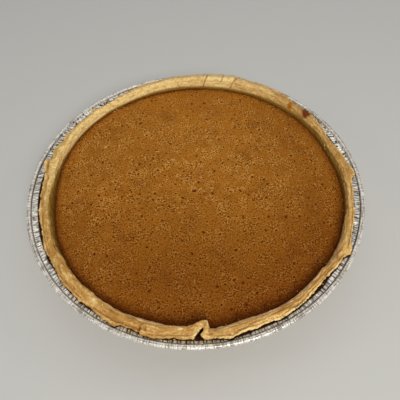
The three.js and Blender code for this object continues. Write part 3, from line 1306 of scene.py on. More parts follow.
@dataclass(frozen=True)
class PastryBake:
    """How baked, pale, blushed and damp the rim is round the pie, with painted light and shade, on each zone.
    """

    all_over: Profile = around(0.2, (200.0, 30.0, 0.3), (40.0, 9.0, 0.35), (112.0, 52.0, -0.4))
    on_edge: Profile = around(0.2, (280.0, 60.0, 0.25))
    on_top: Profile = around(0.0, (262.0, 34.0, 0.3), (316.0, 26.0, 0.3), (252.0, 15.0, 0.35))
    beyond: Profile = around(0.0, (62.0, 34.0, 0.35), (14.0, 28.0, 0.49))
    # Partly paler dough, partly painted light: the inner wall at the back that faces the lamp, and lit edges.
    light_rear: Profile = around(0.0, (122.0, 46.0, 0.8), (60.0, 24.0, 0.1))
    light_outside: Profile = around(0.0, (294.0, 20.0, 0.8))
    light_top: Profile = around(0.0, (178.0, 14.0, 0.5))
    light_beyond: Profile = around(0.0, (345.0, 30.0, 0.12))
    light_inside: Profile = around(0.0, (149.0, 14.0, 0.35))
    light_lip: Profile = around(0.0, (269.6, 1.3, 1.0), (15.0, 13.0, 0.7))
    lip_dabs: Profile = around(1.0, (250.0, 20.0, -1.0))
    blush: Profile = around(0.0, (298.0, 26.0, 1.3), (252.0, 16.0, 0.6))
    ashen: Profile = around(0.0, (82.0, 38.0, 0.6))
    tufted: Profile = around(0.0, (135.0, 34.0, 1.0), (35.0, 28.0, 1.0))
    # Reach of the damp, painted-shade band at the custard's line; narrow at the back, where the wall faces
    # the lamp.
    soak_and_shade: Profile = around(
        0.45,
        (186.0, 13.0, 2.4), (206.0, 15.0, 2.3), (10.0, 42.0, 1.55), (102.0, 22.0, 0.4), (196.0, 18.0, 0.35),
    )
    scorched: Browned = Browned(34.036, 0.24, 12.3, 4.6, 6.6)
    toasted: Browned = Browned(41.8, 0.1, 7.4, 2.2, 3.3)


@dataclass(frozen=True)
class PastryCrust:
    """The pastry shell with its folded rim, finished with flaky relief."""

    form: PieForm
    lip_height: float = 0.9
    lip_thickness: float = 1.3
    lap: float = 0.9
    upper_wall: float = 6.0
    setback: Profile = around(
        2.3,
        (12.7, 7.3, 1.1, 4.5), (45.0, 16.8, 0.7, 7.1), (162.0, 33.0, -0.7, 13.8), (230.0, 18.0, -1.8, 14.6),
        (262.0, 1.3, -0.7, 5.2), (275.4, 1.3, 1.0, 4.1), (315.9, 2.6, -1.5, 1.1), (319.5, 1.2, 0.6, 6.2),
        (336.3, 1.3, -1.4, 6.7), (349.0, 27.5, -1.0, 7.6),
    )
    crest: Profile = around(5.4, (78.0, 24.0, 2.3), (133.0, 17.0, -0.4), (185.0, 20.0, -0.4))
    lift: Profile = around(0.0, (169.0, 5.0, 0.8), (195.0, 18.0, 0.6), (292.0, 10.0, 0.7), (313.0, 10.0, 1.4))
    crevice: Profile = around(0.25, (250.0, 14.0, 1.3), (284.0, 7.0, 0.9), (303.0, 16.0, 1.4))
    patch_from: float = 71.0
    patch_to: float = 85.0
    patch_rise: float = 0.9
    patch_inwards: float = 0.7
    patch_corner: Wave = Wave(71.6, 1.1, 0.7)
    seams: tuple[Seam, ...] = each(
        Seam,
        (70.6, 0.2, 2.0, 30.0, 0.7, 0.6, 0.3), (76.3, 0.06, 7.0, 30.0, 0.4, 0.2, 0.28),
        (83.9, 0.16, 1.0, 17.0, 0.6, 0.3), (10.6, 0.0, 2.0, 6.0, 0.3, 0.0, 0.2),
        (12.3, 0.0, 1.5, 5.0, 0.3, 0.0, 0.2), (252.5, -0.04, 11.5, 22.0, 0.5, 0.6, 0.3),
        (254.9, 0.12, 11.0, 15.0, 0.35, 0.4, 0.3),
    )
    # Share of the way from the shoulder to the lip, drop below the crest, and share of the crevice's depth.
    ribbon: tuple[tuple[float, float, float], ...] = (
        (0.0, 1.0, 0.0), (0.28, 0.0, 0.0), (0.52, 0.6, 0.3), (0.62, 1.4, 1.0), (0.74, 1.9, 0.2),
    )
    folds: tuple[Fold, ...] = each(
        Fold,
        (165.0, 180.0, 112.3, 111.2, 107.8, 0.7, 0.4), (4.0, 24.0, 115.2, 110.6, 111.2, 0.35, 0.35),
        (113.0, 137.0, 113.0, 109.9, 110.4, 0.6, 0.5), (168.0, 176.0, 113.6, 112.6, 111.2, 0.7, 0.6),
        (185.0, 216.0, 111.0, 111.2, 114.8, 0.35, 0.35), (217.0, 233.0, 114.9, 114.8, 115.2, 0.5, 0.4),
        (237.0, 253.0, 115.3, 115.5, 115.7, 0.6, 0.45), (256.0, 268.0, 117.2, 115.9, 115.2, 0.6, 0.4),
        (272.6, 279.0, 114.9, 115.9, 116.2, 0.6, 0.4), (280.0, 303.0, 115.5, 113.5, 115.3, 0.9, 0.42),
        (300.0, 325.0, 114.8, 112.2, 115.7, 0.9, 0.5), (327.5, 354.0, 116.1, 113.5, 112.5, 0.6, 0.4),
    )
    # Pale patches of dough; those on the pleat's ridges, from 268.5 to 273, are painted highlights.
    pale_spots: tuple[Spot, ...] = each(
        Spot,
        (80.0, 104.0, 5.0, 4.0, 0.5), (103.0, 105.0, 5.0, 2.0, 0.4), (126.0, 107.0, 4.0, 1.2, 0.5),
        (141.0, 106.5, 4.0, 1.5, 0.4), (182.0, 107.3, 2.6, 0.9, 0.8), (188.0, 108.3, 3.0, 0.7, 0.8),
        (193.0, 111.0, 2.0, 1.4, 0.5), (200.0, 107.0, 2.0, 0.5, 0.7), (209.0, 107.0, 1.6, 0.6, 0.7),
        (216.0, 112.0, 3.0, 1.0, 0.5), (236.0, 111.8, 2.4, 1.3, 0.9), (252.0, 111.0, 6.0, 0.6, 0.4),
        (257.0, 112.8, 1.0, 0.8, 0.7), (265.0, 112.6, 2.4, 0.8, 0.7), (268.5, 111.6, 2.2, 0.5, 0.6),
        (270.4, 109.7, 1.8, 0.5, 0.7), (272.0, 107.6, 1.4, 0.6, 0.6), (273.0, 109.6, 0.6, 2.2, 0.9),
        (290.0, 113.2, 6.0, 0.5, 0.5), (306.0, 113.0, 6.0, 0.5, 0.6),
    )
    # Small dark marks; the one in the flap's curl at 172.4 is painted shade in its hollow.
    dark_spots: tuple[Spot, ...] = each(
        Spot,
        (62.0, 103.0, 1.2, 3.0, 0.2), (105.0, 111.0, 1.4, 2.0, 0.3), (164.5, 112.6, 1.4, 1.2, 0.5),
        (172.4, 112.2, 0.9, 0.6, 1.0), (253.0, 114.8, 0.6, 1.5, 0.7), (273.3, 113.0, 0.5, 1.2, 0.8),
        (273.9, 115.0, 0.9, 0.4, 0.7), (279.0, 116.8, 0.6, 0.4, 1.0), (322.0, 113.4, 2.0, 0.3, 0.9),
    )
    bake: PastryBake = PastryBake()
    section_steps: tuple[int, ...] = (1, 1, 6, 7, 7, 7, 5, 5, 6, 4, 4, 3, 1, 1, 1, 1, 1)
    coarse_step: float = 0.25
    fine_step: float = 0.1
    fine_from: float = 264.0
    fine_to: float = 276.0
    lumps: float = 0.5
    dents: float = 0.34
    layers: float = 1.5
    layer_levels: float = 5.0
    roughness: float = 0.12
    ragged: float = 0.5
    setback_uneven: float = 0.08
    crest_uneven: float = 0.15

    def angles(self) -> Array:
        """The angles at which the sections stand, closer together round the pleat.

        Returns:
            The angles, in order.
        """
        ends = (0.0, self.fine_from, self.fine_to, 360.0)
        steps = (self.coarse_step, self.fine_step, self.coarse_step)
        return np.concatenate([np.arange(*span) for span in zip(ends, ends[1:], steps)])

    def patch_share(self, angles: Array) -> Array:
        """1 on the dough patch at the back, with its ends a degree wide, and 0 elsewhere."""
        return limited(np.minimum(angles - self.patch_from, self.patch_to - angles) + 0.5)

    def control_points(self, angles: Array) -> Array:
        """The named points of each section.

        Args:
            angles: the sections' angles.

        Returns:
            Radius and height by section and by the order of Ring, in millimetres.
        """
        form, pleat, gap, mouth = self.form, self.form.pleat, self.form.gap, self.form.pan_mouth
        notch, bulge, patch = pleat.notch_share(angles), pleat.bulge_share(angles), self.patch_share(angles)
        filling, level = form.filling_edge(angles), np.ones_like(angles)
        setback = self.setback(angles) + unevenness(angles, self.setback_uneven)
        shoulder = filling + setback - pleat.bulge * bulge - self.patch_inwards * patch
        edge = form.pastry_edge(angles) + self.ragged * self.tear(angles)
        rise = self.crest(angles) + unevenness(angles + 40.0, self.crest_uneven)
        crest = form.rim_height + rise + pleat.rise * bulge + self.patch_rise * patch
        crest = crest + self.patch_corner.at(angles)
        crevice = self.crevice(angles) * (1.0 - 0.35 * notch)
        lift = self.lift(angles) + pleat.lift * notch
        lip, rest_height = form.rim_height + self.lip_height + lift, form.flange_top + gap + lift
        rest = np.minimum(mouth + self.lap, edge - self.lip_thickness)
        folded = [(mix(shoulder, edge, s), crest - drop - cut * crevice) for s, drop, cut in self.ribbon]
        wall, foot = form.flange_top - self.upper_wall, form.pastry_bottom + form.corner
        rows = [
            (form.shell_wall(form.shell_floor, angles), form.shell_floor * level),
            (form.shell_wall(form.knee, angles), form.knee * level),
            (filling, form.filling_top * level),
            (mix(filling, shoulder, 0.5), mix(form.filling_top, crest, 0.6)),
            *folded,
            (edge - self.lip_thickness / 2, mix(lip, crest, 0.5)),
            (edge, lip + self.lip_thickness),
            (edge - self.lip_thickness / 2, lip),
            (rest, rest_height),
            (np.minimum(mouth, rest - gap), mix(form.flange_top + gap, rest_height, 0.5)),
            (np.minimum(mouth - 2.5 * gap, rest - 2 * gap), (form.flange_top - 2.5 * gap) * level),
            ((form.pan_wall(wall) - 1.2 * gap) * level, wall * level),
            ((form.pan_wall(foot) - 1.2 * gap) * level, foot * level),
            ((form.pan_floor - form.corner - gap) * level, form.pastry_bottom * level),
        ]
        return np.stack([np.stack(row, axis=-1) for row in rows], axis=1)

    @staticmethod
    def tear(angles: Array) -> Array:
        """The small raggedness of the lip's outline, from about -1 to 1."""
        layers = ((1.0, 4.5, 3.3), (0.6, 1.8, 7.7), (0.5, 0.9, 9.1))
        return sum(share * rim_noise(angles, length, layer) for share, length, layer in layers)

    def relief(self, angles: Array, across: Array) -> Array:
        """How far the surface stands out from its plain form, in millimetres.

        Args:
            angles: angle of each point.
            across: the way of each point across the rim, in millimetres.

        Returns:
            The relief at each point.
        """
        lumps = rim_noise(angles, 11.0, across / 9.0)
        dents = rim_noise(angles, 3.2, across / 2.4 + 20.0)
        streaks = rim_noise(angles, 9.0, across / 1.3 + 40.0)
        streaks += 0.5 * rim_noise(angles, 3.0, across / 0.8 + 60.0)
        steps = streaks * self.layer_levels
        flaky = (np.floor(steps) + ease((steps - np.floor(steps) - 0.7) / 0.3)) / self.layer_levels
        rough = rim_noise(angles, 0.9, across / 0.8 + 80.0)
        return self.lumps * lumps + self.dents * dents + 0.35 * self.layers * flaky + self.roughness * rough

    def build(self) -> Object:
        """Builds the crust, with the numbers its material reads.

        Returns:
            The piece.
        """
        form, pleat, angles = self.form, self.form.pleat, self.angles()
        curves, places = smooth_curve(self.control_points(angles), self.section_steps)
        radii, heights = curves[:, :, 0], curves[:, :, 1]
        lengths = np.linalg.norm(np.diff(curves, axis=1), axis=2)
        across = np.concatenate([np.zeros((len(angles), 1)), np.cumsum(lengths, axis=1)], axis=1)
        line = np.argmin(np.abs(Ring.FILLING_LINE.past(places)))
        across -= across[:, line : line + 1]
        shown = ease(Ring.FILLING_LINE.past(places) / 0.7) * fade(Ring.LIP_UNDER.past(places) / 0.9)
        turned = np.broadcast_to(angles[:, None], radii.shape)
        relief = self.relief(turned, across) * shown
        along = np.gradient(curves, axis=1)
        normal = np.stack([-along[:, :, 1], along[:, :, 0]], axis=-1)
        normal /= np.maximum(np.linalg.norm(normal, axis=2, keepdims=True), 1e-9)
        relief = relief - shown * sum(seam.press(turned, across) for seam in self.seams)
        relief = relief - shown * sum(fold.press(turned, radii) for fold in self.folds)
        radii = radii + relief * normal[:, :, 0]
        heights = heights + relief * normal[:, :, 1]
        near = bell(radii - pleat.lean_radius, pleat.lean_spread)
        lean = pleat.lean * hump(turned, pleat.apex + 0.4, 0.9) * near
        rings = ring_points(radii, turned - lean * shown, heights)
        crust = object_from("baked_pastry_crust", *closed_rings(rings, form.shell_floor, form.pastry_bottom))
        store(crust, self.marks(turned, radii, np.broadcast_to(places, radii.shape), across, relief))
        pick(crust)
        bpy.ops.object.shade_smooth()
        return crust

    def marks(self, angles: Array, radii: Array, ring: Array, across: Array, relief: Array) -> Marks:
        """Works out how baked, pale, damp and scorched each point is, with its painted light and shade.

        Args:
            angles: angle of each point.
            radii: radius of each point.
            ring: its place across the section, counted in control points.
            across: its way across the rim from the custard's line, in millimetres.
            relief: its relief.

        Returns:
            Numbers for the pastry's material, by name.
        """
        bake, patch = self.bake, self.patch_share(angles)
        top, lip = bell(Ring.CREST.past(ring), 0.9), bell(Ring.LIP_BROW.past(ring) - 0.1, 0.7)
        inside, beyond = fade(Ring.SHOULDER.past(ring) / 0.8), ease((Ring.SHOULDER.past(ring) - 0.3) / 0.9)
        outside, under = ease(Ring.OUTER_SLOPE.past(ring)), ease((Ring.LIP_EDGE.past(ring) - 0.3) / 0.7)
        baked = bake.all_over(angles) + bake.on_edge(angles) * ease(Ring.LAYER_TOP.past(ring) / 2.0)
        # The relief term is painted light and shade: raised dough paler, hollows darker.
        baked += 0.4 * rim_noise(angles, 12.0, ring / 2.0 + 5.0) - 0.5 * relief - 0.25 * patch
        baked += bake.on_top(angles) * top + bake.beyond(angles) * beyond
        # Paler dough (the patch, pale spots) and painted light: the lit inner wall at the back and lit edges.
        light = (0.8 * patch + bake.light_rear(angles)) * (1.0 - 0.9 * beyond)
        light += bake.light_inside(angles) * inside + bake.light_beyond(angles) * beyond
        light += (bake.light_top(angles) + 0.3 * rim_noise(angles, 7.0, 4.0)) * top
        light += bake.light_outside(angles) * outside + bake.light_lip(angles) * lip
        light += lip * (0.3 + 0.5 * rim_noise(angles, 6.0, 12.0)) * bake.lip_dabs(angles)
        light += sum(spot.share(angles, radii) for spot in self.pale_spots)
        # Painted shade: dark lines at the folds' bottoms. The seams are dark joints.
        folded = np.max([fold.line(angles, radii) for fold in self.folds], axis=0)
        seamed = np.max([seam.line(angles, across) for seam in self.seams], axis=0)
        dark = sum(spot.share(angles, radii) for spot in self.dark_spots)
        return {
            "baked": baked,
            "light": limited(light),
            "soak_and_shade": fade(Ring.FILLING_LINE.past(ring) / bake.soak_and_shade(angles)),
            "blushed": limited(inside * bake.blush(angles)),
            "ashen": beyond * bake.ashen(angles),
            "seam": limited(np.maximum(0.8 * seamed, 0.62 * folded) * (1.0 - under) + dark),
            "underside": under,
            "outer": outside * (1.0 - under) * bake.tufted(angles),
            "scorched": bake.scorched.share(angles, across),
            "toasted": bake.toasted.share(angles, across),
        }


# ---------------------------------------------------------------- custard


@dataclass(frozen=True)
class Hole:
    """A burst bubble in the custard's skin: its place, half width, depth, length and turn."""

    x: float
    y: float
    radius: float
    depth: float
    stretch: float = 1.0
    turn: float = 0.0

    @property
    def reach(self) -> float:
        """Half its length."""
        return self.radius * self.stretch

    def clear_of(self, x: float, y: float, room: float) -> bool:
        """Whether a place is more than a distance away from its middle."""
        return math.hypot(self.x - x, self.y - y) > room


@dataclass(frozen=True)
class HoleMap:
    """Holes sorted into square cells, so that those near a place are found at once."""

    side: float = 3.0
    cells: dict[tuple[int, int], list[Hole]] = field(default_factory=dict)

    def cell(self, x: float, y: float) -> tuple[int, int]:
        """The cell that a place is in."""
        return int(x // self.side), int(y // self.side)

    def add(self, hole: Hole) -> None:
        """Adds a hole."""
        self.cells.setdefault(self.cell(hole.x, hole.y), []).append(hole)

    def near(self, x: float, y: float) -> list[Hole]:
        """The holes in a place's cell and in the eight round it."""
        column, row = self.cell(x, y)
        return [h for i in (-1, 0, 1) for j in (-1, 0, 1) for h in self.cells.get((column + i, row + j), [])]


@dataclass(frozen=True)
class PitRing:
    """One ring of a pit's points: share of its size, count, depth, painted shade and painted highlight."""

    share: float
    count: int
    sink: float
    dark: float
    pale: float


@dataclass(frozen=True)
class Custard:
    """The set custard: a slightly uneven top with burst bubbles, over a plain hidden body."""

    form: PieForm
    edge_steps: int = 720
    edge_band: float = 1.0
    grid: float = 2.1
    grid_jitter: float = 0.3
    grid_reach: float = 110.0
    row_share: float = 0.866
    pit_count: int = 3300
    pit_reach: float = 104.0
    smallest: float = 0.4
    largest: float = 1.15
    front_line: float = -35.0
    pit_rings: tuple[PitRing, ...] = each(
        PitRing,
        (0.0, 1, 1.0, 1.0, 0.0), (0.6, 5, 0.8, 1.0, 0.0), (1.0, 6, -0.1, 0.15, 0.8), (1.6, 6, 0.0, 0.0, 0.0),
    )
    overlap: float = 0.25
    edge_rise: float = 0.35
    edge_rise_width: float = 1.6
    moat: float = 0.25
    moat_place: float = 4.0
    moat_width: float = 2.4
    lumps: float = 0.09
    lump_length: float = 9.0
    side_drop: float = 1.6
    centre_hole: Hole = Hole(-0.8, -8.4, 1.7, 1.6, 1.4, 8.0)
    # How far the dark edge reaches, partly browning and partly painted shadow of the rim, most at the front.
    brown_reach: Profile = around(4.0, (282.0, 42.0, 12.5), (345.0, 30.0, 3.0))
    brown_edge: Profile = around(0.97, (10.0, 60.0, -0.4))
    brown_ring: Profile = around(0.0, (355.0, 24.0, 0.2), (290.0, 18.0, 0.2))
    calm_edge: Profile = around(0.5, (240.0, 60.0, 0.5))
    seed: int = 21

    def edge_at(self, turn: float) -> float:
        """Radius of the custard's edge at an angle in radians."""
        return float(self.form.filling_edge(np.array([math.degrees(turn) % 360.0]))[0])

    def pits(self) -> list[Hole]:
        """Draws the burst bubbles: in clusters, none across another.

        Returns:
            The hole in the middle and the bubbles.
        """
        draw = np.random.default_rng(self.seed)
        made, placed = [self.centre_hole], HoleMap()
        while len(made) < self.pit_count:
            radius, turn = math.sqrt(draw.uniform()) * self.pit_reach, draw.uniform(0.0, 2.0 * math.pi)
            x, y = radius * math.cos(turn), radius * math.sin(turn)
            crowd = noise.noise((x / 17.0, y / 17.0, 3.0)) + 0.6 * noise.noise((x / 6.0, y / 6.0, 8.0))
            crowd += 0.3 * (abs(x) - 30.0) / 60.0 - 0.2 * y / 90.0
            if radius > self.edge_at(turn) - 1.6 or draw.uniform(-0.75, 0.75) > crowd:
                continue
            rarity = 2.6 if y > self.front_line else 5.0
            size = self.smallest + (self.largest - self.smallest) * draw.uniform() ** rarity
            depth, stretch = size * draw.uniform(0.6, 1.1), draw.uniform(1.0, 1.8)
            hole = Hole(x, y, size, depth, stretch, draw.uniform(0.0, 180.0))
            near = [*placed.near(x, y), self.centre_hole]
            if any(not h.clear_of(x, y, 1.8 * (h.reach + hole.reach)) for h in near):
                continue
            placed.add(hole)
            made.append(hole)
        return made

    def pit_points(self, pits: Sequence[Hole]) -> Array:
        """Points of every pit: its middle, its wall, its rim and a flat ring that sets it off.

        Args:
            pits: the pits.

        Returns:
            A row for each point: x, y, depth, its painted shade and its painted highlight.
        """
        rows = []
        for number, pit in enumerate(pits):
            turn = math.radians(pit.turn)
            paleness = 0.5 + 0.5 * math.sin(number * 2.4)
            for ring in self.pit_rings:
                for i in range(ring.count):
                    way = 2.0 * math.pi * i / ring.count + number
                    reach = pit.radius * ring.share
                    u, v = reach * pit.stretch * math.cos(way), reach * math.sin(way)
                    x = pit.x + u * math.cos(turn) - v * math.sin(turn)
                    y = pit.y + u * math.sin(turn) + v * math.cos(turn)
                    rows.append((x, y, ring.sink * pit.depth, ring.dark, ring.pale * paleness))
        return np.array(rows)

    def base_points(self, pits: Sequence[Hole]) -> Array:
        """An even grid over the custard that leaves room for its pits.

        Args:
            pits: the pits.

        Returns:
            The grid's points in the plane.
        """
        draw = np.random.default_rng(self.seed + 1)
        placed = HoleMap()
        for pit in pits:
            placed.add(pit)
        made = []
        rows, columns = (int(self.grid_reach / (self.grid * share)) for share in (self.row_share, 1.0))
        for row in range(-rows, rows + 1):
            for column in range(-columns, columns + 1):
                x = (column + 0.5 * (row % 2)) * self.grid + draw.uniform(-self.grid_jitter, self.grid_jitter)
                y = row * self.grid * self.row_share + draw.uniform(-self.grid_jitter, self.grid_jitter)
                inside = math.hypot(x, y) <= self.edge_at(math.atan2(y, x)) - 2.2
                if inside and all(h.clear_of(x, y, 1.9 * h.reach) for h in placed.near(x, y)):
                    made.append((x, y))
        return np.array(made)

    def build(self) -> Object:
        """Builds the custard, with the numbers its material reads.

        Returns:
            The piece.
        """
        form, pits = self.form, self.pits()
        table = self.pit_points(pits)
        edge_angles = np.arange(self.edge_steps) * 360.0 / self.edge_steps
        edge_radii = form.filling_edge(edge_angles) + self.overlap
        outline = plane_points(edge_radii, edge_angles)
        band = plane_points(edge_radii - self.edge_band, edge_angles + 180.0 / self.edge_steps)
        plane = np.concatenate([outline, band, self.base_points(pits), table[:, :2]])
        boundary = list(range(self.edge_steps))
        flat = [Vector(p) for p in plane]
        found, _, faces, sources, _, _ = geometry.delaunay_2d_cdt(flat, [], [boundary], 1, 1e-5)
        found = np.array([tuple(p) for p in found])
        own = np.array([s[0] if s else -1 for s in sources]) - (len(plane) - len(table))
        sink, dark, pale = np.where(own >= 0, table[np.maximum(own, 0), 2:].T, 0.0)
        radii, angles = polar(found)
        margin = form.filling_edge(angles) - radii
        heights = form.custard_height(radii, angles) - sink
        heights += self.edge_rise * ease(1.0 - margin / self.edge_rise_width)
        heights -= self.moat * bell(margin - self.moat_place, self.moat_width)
        lumps = [noise.noise((x, y, 5.0)) for x, y in found / self.lump_length]
        heights += self.lumps * np.array(lumps)
        top = np.column_stack([found, heights]) * MM
        custard = object_from("set_pumpkin_custard", *self.closed(top, [list(f) for f in faces], edge_angles))
        brown, calm = self.browned_and_shadow(found, angles, margin), fade((margin - 1.0) / 9.0) * self.calm_edge(angles)
        lively = self.lively(found)
        # The pits carry painted shade in them and painted highlights on their rims.
        store(custard, {"lively": lively, "calm": calm, "pit": dark, "fleck_and_glint": pale, "browned_and_shadow": brown})
        pick(custard)
        bpy.ops.object.shade_smooth()
        return custard

    @staticmethod
    def lively(places: Array) -> Array:
        """How strongly the custard is flecked: most round its middle and at the left.

        Args:
            places: each point in the plane.

        Returns:
            The strength at each point.
        """
        x, y = places[:, 0], places[:, 1]
        middle = bell(np.hypot((x - 14.0) / 62.0, (y - 12.0) / 55.0), 1.0)
        return 0.45 + 0.55 * middle - 0.25 * ease((10.0 - y) / 60.0) + 0.3 * ease((-x - 40.0) / 30.0)

    def browned_and_shadow(self, places: Array, angles: Array, margin: Array) -> Array:
        """Dark edge colour: slowly more to the front and right; at the edge, browning plus painted shadow.

        Args:
            places: each point in the plane.
            angles: angle of each point.
            margin: distance of each point from the custard's edge, in millimetres.

        Returns:
            Share of the edge's colour at each point.
        """
        x, y = places[:, 0], places[:, 1]
        uneven = 1.0 + 0.3 * rim_noise(angles, 9.0, margin / 9.0)
        edge = self.brown_edge(angles) * fade(margin / self.brown_reach(angles)) * uneven
        front = 0.46 * ease((12.0 - y) / 95.0)
        sides = 0.24 * ease((x - 30.0) / 60.0) + 0.12 * ease((-x - 45.0) / 50.0)
        ring = self.brown_ring(angles) * bell(margin - 20.0, 9.0)
        return limited(1.0 - (1.0 - edge) * (1.0 - front) * (1.0 - sides) * (1.0 - ring))

    def closed(self, top: Array, faces: Faces, edge_angles: Array) -> tuple[Array, Faces]:
        """Closes the top with the custard's hidden side and underside.

        Args:
            top: the top's points, which start with its outline, in metres.
            faces: the top's faces.
            edge_angles: angles of the outline's points.

        Returns:
            All points and faces.
        """
        form, gap, count = self.form, self.form.gap, self.edge_steps
        bottom = form.shell_floor + gap
        section = (
            (form.filling_edge(edge_angles) - gap, form.filling_top - self.side_drop),
            (form.shell_wall(form.knee, edge_angles) - gap, form.knee),
            (form.shell_wall(bottom, edge_angles) - gap, bottom),
        )
        rings = [ring_points(radii, edge_angles, np.full_like(radii, height)) for radii, height in section]
        points = np.concatenate([top, *rings, [[0.0, 0.0, bottom * MM]]])
        starts = [0, *(len(top) + i * count for i in range(len(rings)))]
        steps = [(i, (i + 1) % count) for i in range(count)]
        for upper, lower in zip(starts[:-1], starts[1:]):
            faces += [[upper + i, lower + i, lower + j, upper + j] for i, j in steps]
        faces += [[len(points) - 1, starts[-1] + j, starts[-1] + i] for i, j in steps]
        return points, faces


# ---------------------------------------------------------------- crumbs and flakes


class Anchor(Enum):
    """The line round the pie that a strip of crumbs is measured from."""

    CUSTARD_EDGE = "custard_edge"
    PASTRY_EDGE = "pastry_edge"


@dataclass(frozen=True)
class Strip:
    """A strip round the pie that holds crumbs: its ends, the line it runs along, its sides and its count."""

    start: float
    end: float
    anchor: Anchor
    inner: float
    outer: float
    count: int

    def places(self, form: PieForm, draw: Draw) -> Array:
        """Draws places in the strip.

        Args:
            form: the pie's sizes.
            draw: random numbers.

        Returns:
            The places, as x and y in millimetres.
        """
        angles = draw.uniform(self.start, self.end, self.count) % 360.0
        line = form.filling_edge(angles) if self.anchor is Anchor.CUSTARD_EDGE else form.pastry_edge(angles)
        return plane_points(line + draw.uniform(self.inner, self.outer, self.count), angles)


@dataclass(frozen=True)
class Surface:
    """The pie's finished surface, for things to be laid on."""

    tree: BVHTree

    @classmethod
    def of(cls, pieces: Sequence[Object]) -> "Surface":
        """The surface of several pieces together.

        Args:
            pieces: the pieces.

        Returns:
            Their surface.
        """
        points: list[Vector] = []
        faces: Faces = []
        for piece in pieces:
            first = len(points)
            points.extend(vertex.co.copy() for vertex in piece.data.vertices)
            faces.extend(tuple(first + i for i in face.vertices) for face in piece.data.polygons)
        return cls(BVHTree.FromPolygons(points, faces))

    def under(self, x: float, y: float) -> tuple[Vector, Vector] | None:
        """The point under a place in millimetres and the surface's direction there, or None."""
        point, normal, _, _ = self.tree.ray_cast(Vector((x * MM, y * MM, 0.1)), Vector((0.0, 0.0, -1.0)))
        return None if point is None else (point, normal)


@dataclass(frozen=True)
class Crumbs:
    """Small bits of pastry that lie on the pie, all in one piece."""

    name: str
    strips: tuple[Strip, ...]
    smallest: float
    largest: float
    flatness: float
    bake: float
    seed: int

    def build(self, form: PieForm, surface: Surface) -> Object:
        """Lays the crumbs on the pie and stores how baked each one is.

        Args:
            form: the pie's sizes.
            surface: the surface that they lie on.

        Returns:
            The piece.
        """
        draw = np.random.default_rng(self.seed)
        shape, corners = self.lump()
        points: list[Array] = []
        faces: Faces = []
        baked: list[float] = []
        for x, y in np.concatenate([strip.places(form, draw) for strip in self.strips]):
            found = surface.under(float(x), float(y))
            size = mix(self.smallest, self.largest, draw.uniform() ** 2)
            jitter = draw.uniform(0.7, 1.3, (len(shape), 1))
            stretch = np.array([draw.uniform(0.8, 1.5), draw.uniform(0.6, 1.0), self.flatness])
            turn = draw.uniform(0.0, 2.0 * math.pi)
            if found is None:
                continue
            point, normal = found
            frame = normal.to_track_quat("Z", "Y").to_matrix() @ Matrix.Rotation(turn, 3, "Z")
            local = shape * jitter * stretch * size * MM
            local[:, 2] += 0.35 * size * self.flatness * MM
            first = len(points) * len(shape)
            points.append(local @ np.array(frame).T + np.array(point))
            faces.extend([first + c for c in corner] for corner in corners)
            baked.extend([draw.uniform(0.0, self.bake)] * len(shape))
        made = object_from(self.name, np.concatenate(points), faces)
        store(made, {"baked": np.array(baked)})
        return made

    @staticmethod
    def lump() -> tuple[Array, list[list[int]]]:
        """The plain lump that each crumb starts from.

        Returns:
            Its points and its faces.
        """
        pick()
        bpy.ops.mesh.primitive_ico_sphere_add(subdivisions=1, radius=1.0, location=(0, 0, 0))
        shape = np.array([tuple(vertex.co) for vertex in active().data.vertices])
        corners = [list(face.vertices) for face in active().data.polygons]
        bpy.data.objects.remove(active(), do_unlink=True)
        return shape, corners


class Scraps(Enum):
    """The two kinds of loose pastry: crumbs beside the rim, and thin flakes that stand off the baked rim."""

    CRUMBS = Crumbs(
        "pastry_crumbs",
        (
            Strip(215.0, 322.0, Anchor.CUSTARD_EDGE, -1.6, 0.8, 26),
            Strip(215.0, 322.0, Anchor.CUSTARD_EDGE, -6.0, -1.0, 4),
            Strip(322.0, 400.0, Anchor.CUSTARD_EDGE, -1.6, 0.8, 10),
            Strip(0.0, 360.0, Anchor.PASTRY_EDGE, 0.4, 2.0, 14),
        ),
        smallest=0.14, largest=0.5, flatness=0.7, bake=0.8, seed=31,
    )
    FLAKES = Crumbs(
        "pastry_flakes",
        (
            Strip(0.0, 360.0, Anchor.PASTRY_EDGE, -6.5, -0.4, 330),
            Strip(95.0, 160.0, Anchor.PASTRY_EDGE, -4.0, -0.2, 130),
            Strip(5.0, 65.0, Anchor.PASTRY_EDGE, -5.0, -0.2, 80),
        ),
        smallest=0.3, largest=1.0, flatness=0.22, bake=0.35, seed=37,
    )


# ---------------------------------------------------------------- studio


@dataclass(frozen=True)
class SoftBox:
    """A square soft light aimed at the pie: its place and side in metres, power and colour."""

    name: str
    place: tuple[float, float, float]
    size: float
    power: float
    colour: tuple[float, float, float] = (1.0, 1.0, 1.0)
    target: tuple[float, float, float] = (0.0, 0.0, 0.03)

    def add(self) -> None:
        """Hangs the light."""
        data = bpy.data.lights.new(self.name, "AREA")
        data.shape, data.size, data.energy, data.color = "SQUARE", self.size, self.power, self.colour
        light = bpy.data.objects.new(self.name, data)
        light.location = self.place
        light.rotation_euler = (Vector(self.target) - Vector(self.place)).to_track_quat("-Z", "Y").to_euler()
        bpy.context.scene.collection.objects.link(light)


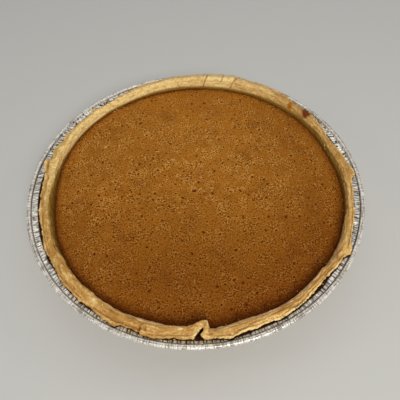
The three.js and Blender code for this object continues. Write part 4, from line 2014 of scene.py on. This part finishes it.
@dataclass(frozen=True)
class Studio:
    """A plain pale floor, soft light and the camera."""

    form: PieForm
    floor_size: float = 8.0
    camera_place: tuple[float, float, float] = (3.2, -182.0, 235.8)
    pitch: float = 55.3
    roll: float = -1.68
    lens: float = 36.0
    lights: tuple[SoftBox, ...] = (
        SoftBox("key_light", (0.25, -0.95, 1.05), 0.7, 14.2, (1.0, 0.985, 0.955)),
        SoftBox("back_light", (0.0, 0.75, 1.35), 1.8, 5.2, (0.97, 0.985, 1.0)),
        SoftBox("left_light", (-1.1, -0.1, 0.7), 0.25, 0.8, (0.97, 0.985, 1.0)),
        SoftBox("right_light", (1.1, 0.25, 0.8), 0.25, 0.8),
    )
    sky: float = 0.2
    sky_colour: Colour = (0.98, 0.99, 1.0, 1.0)

    def build(self) -> None:
        """Adds the floor, the lights and the camera."""
        self.add_floor()
        for light in self.lights:
            light.add()
        world = bpy.data.worlds.new("soft_studio")
        bpy.context.scene.world = world
        Graph(world).finish(Color=self.sky_colour, Strength=self.sky)
        self.add_camera()
        bpy.context.scene.view_settings.view_transform = "Standard"

    def add_floor(self) -> None:
        """Lays the tabletop that the pie stands on."""
        pick()
        bpy.ops.mesh.primitive_plane_add(size=self.floor_size, location=(0, 0, 0))
        floor = active()
        floor.name = "pale_floor"
        floor.data.materials.append(FloorFinish().make())

    def add_camera(self) -> None:
        """Sets up the camera, above the front of the pie and looking down at it."""
        data = bpy.data.cameras.new("camera")
        data.lens, data.sensor_width = self.lens, 36.0
        camera = bpy.data.objects.new("camera", data)
        pitch, roll = math.radians(self.pitch), math.radians(self.roll)
        forward = Vector((0.0, math.cos(pitch), -math.sin(pitch)))
        right = Vector((1.0, 0.0, 0.0))
        up = right.cross(forward)
        across = math.cos(roll) * right + math.sin(roll) * up
        upright = math.cos(roll) * up - math.sin(roll) * right
        x, y, z = self.camera_place
        turned = Matrix((across, upright, -forward)).transposed().to_4x4()
        camera.matrix_world = Matrix.Translation((x * MM, y * MM, (z + self.form.rim_height) * MM)) @ turned
        bpy.context.scene.collection.objects.link(camera)
        bpy.context.scene.camera = camera


def main() -> None:
    """Builds the pie in its studio and reports each piece."""
    logging.basicConfig(level=logging.INFO, format="%(message)s")
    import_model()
    form = PieForm()
    foil, pastry, custard = FoilFinish().make(), PastryFinish().make(), CustardFinish().make()
    pan, crust, filling = FoilPan(form).build(), PastryCrust(form).build(), Custard(form).build()
    dress(pan, foil, "foil", "foil_pan")
    dress(crust, pastry, "pastry", "pastry_crust")
    dress(filling, custard, "custard", "pumpkin_filling")
    surface = Surface.of((pan, crust, filling))
    for scraps in Scraps:
        dress(scraps.value.build(form, surface), pastry, "pastry")
    Studio(form).build()


if __name__ == "__main__":
    main()
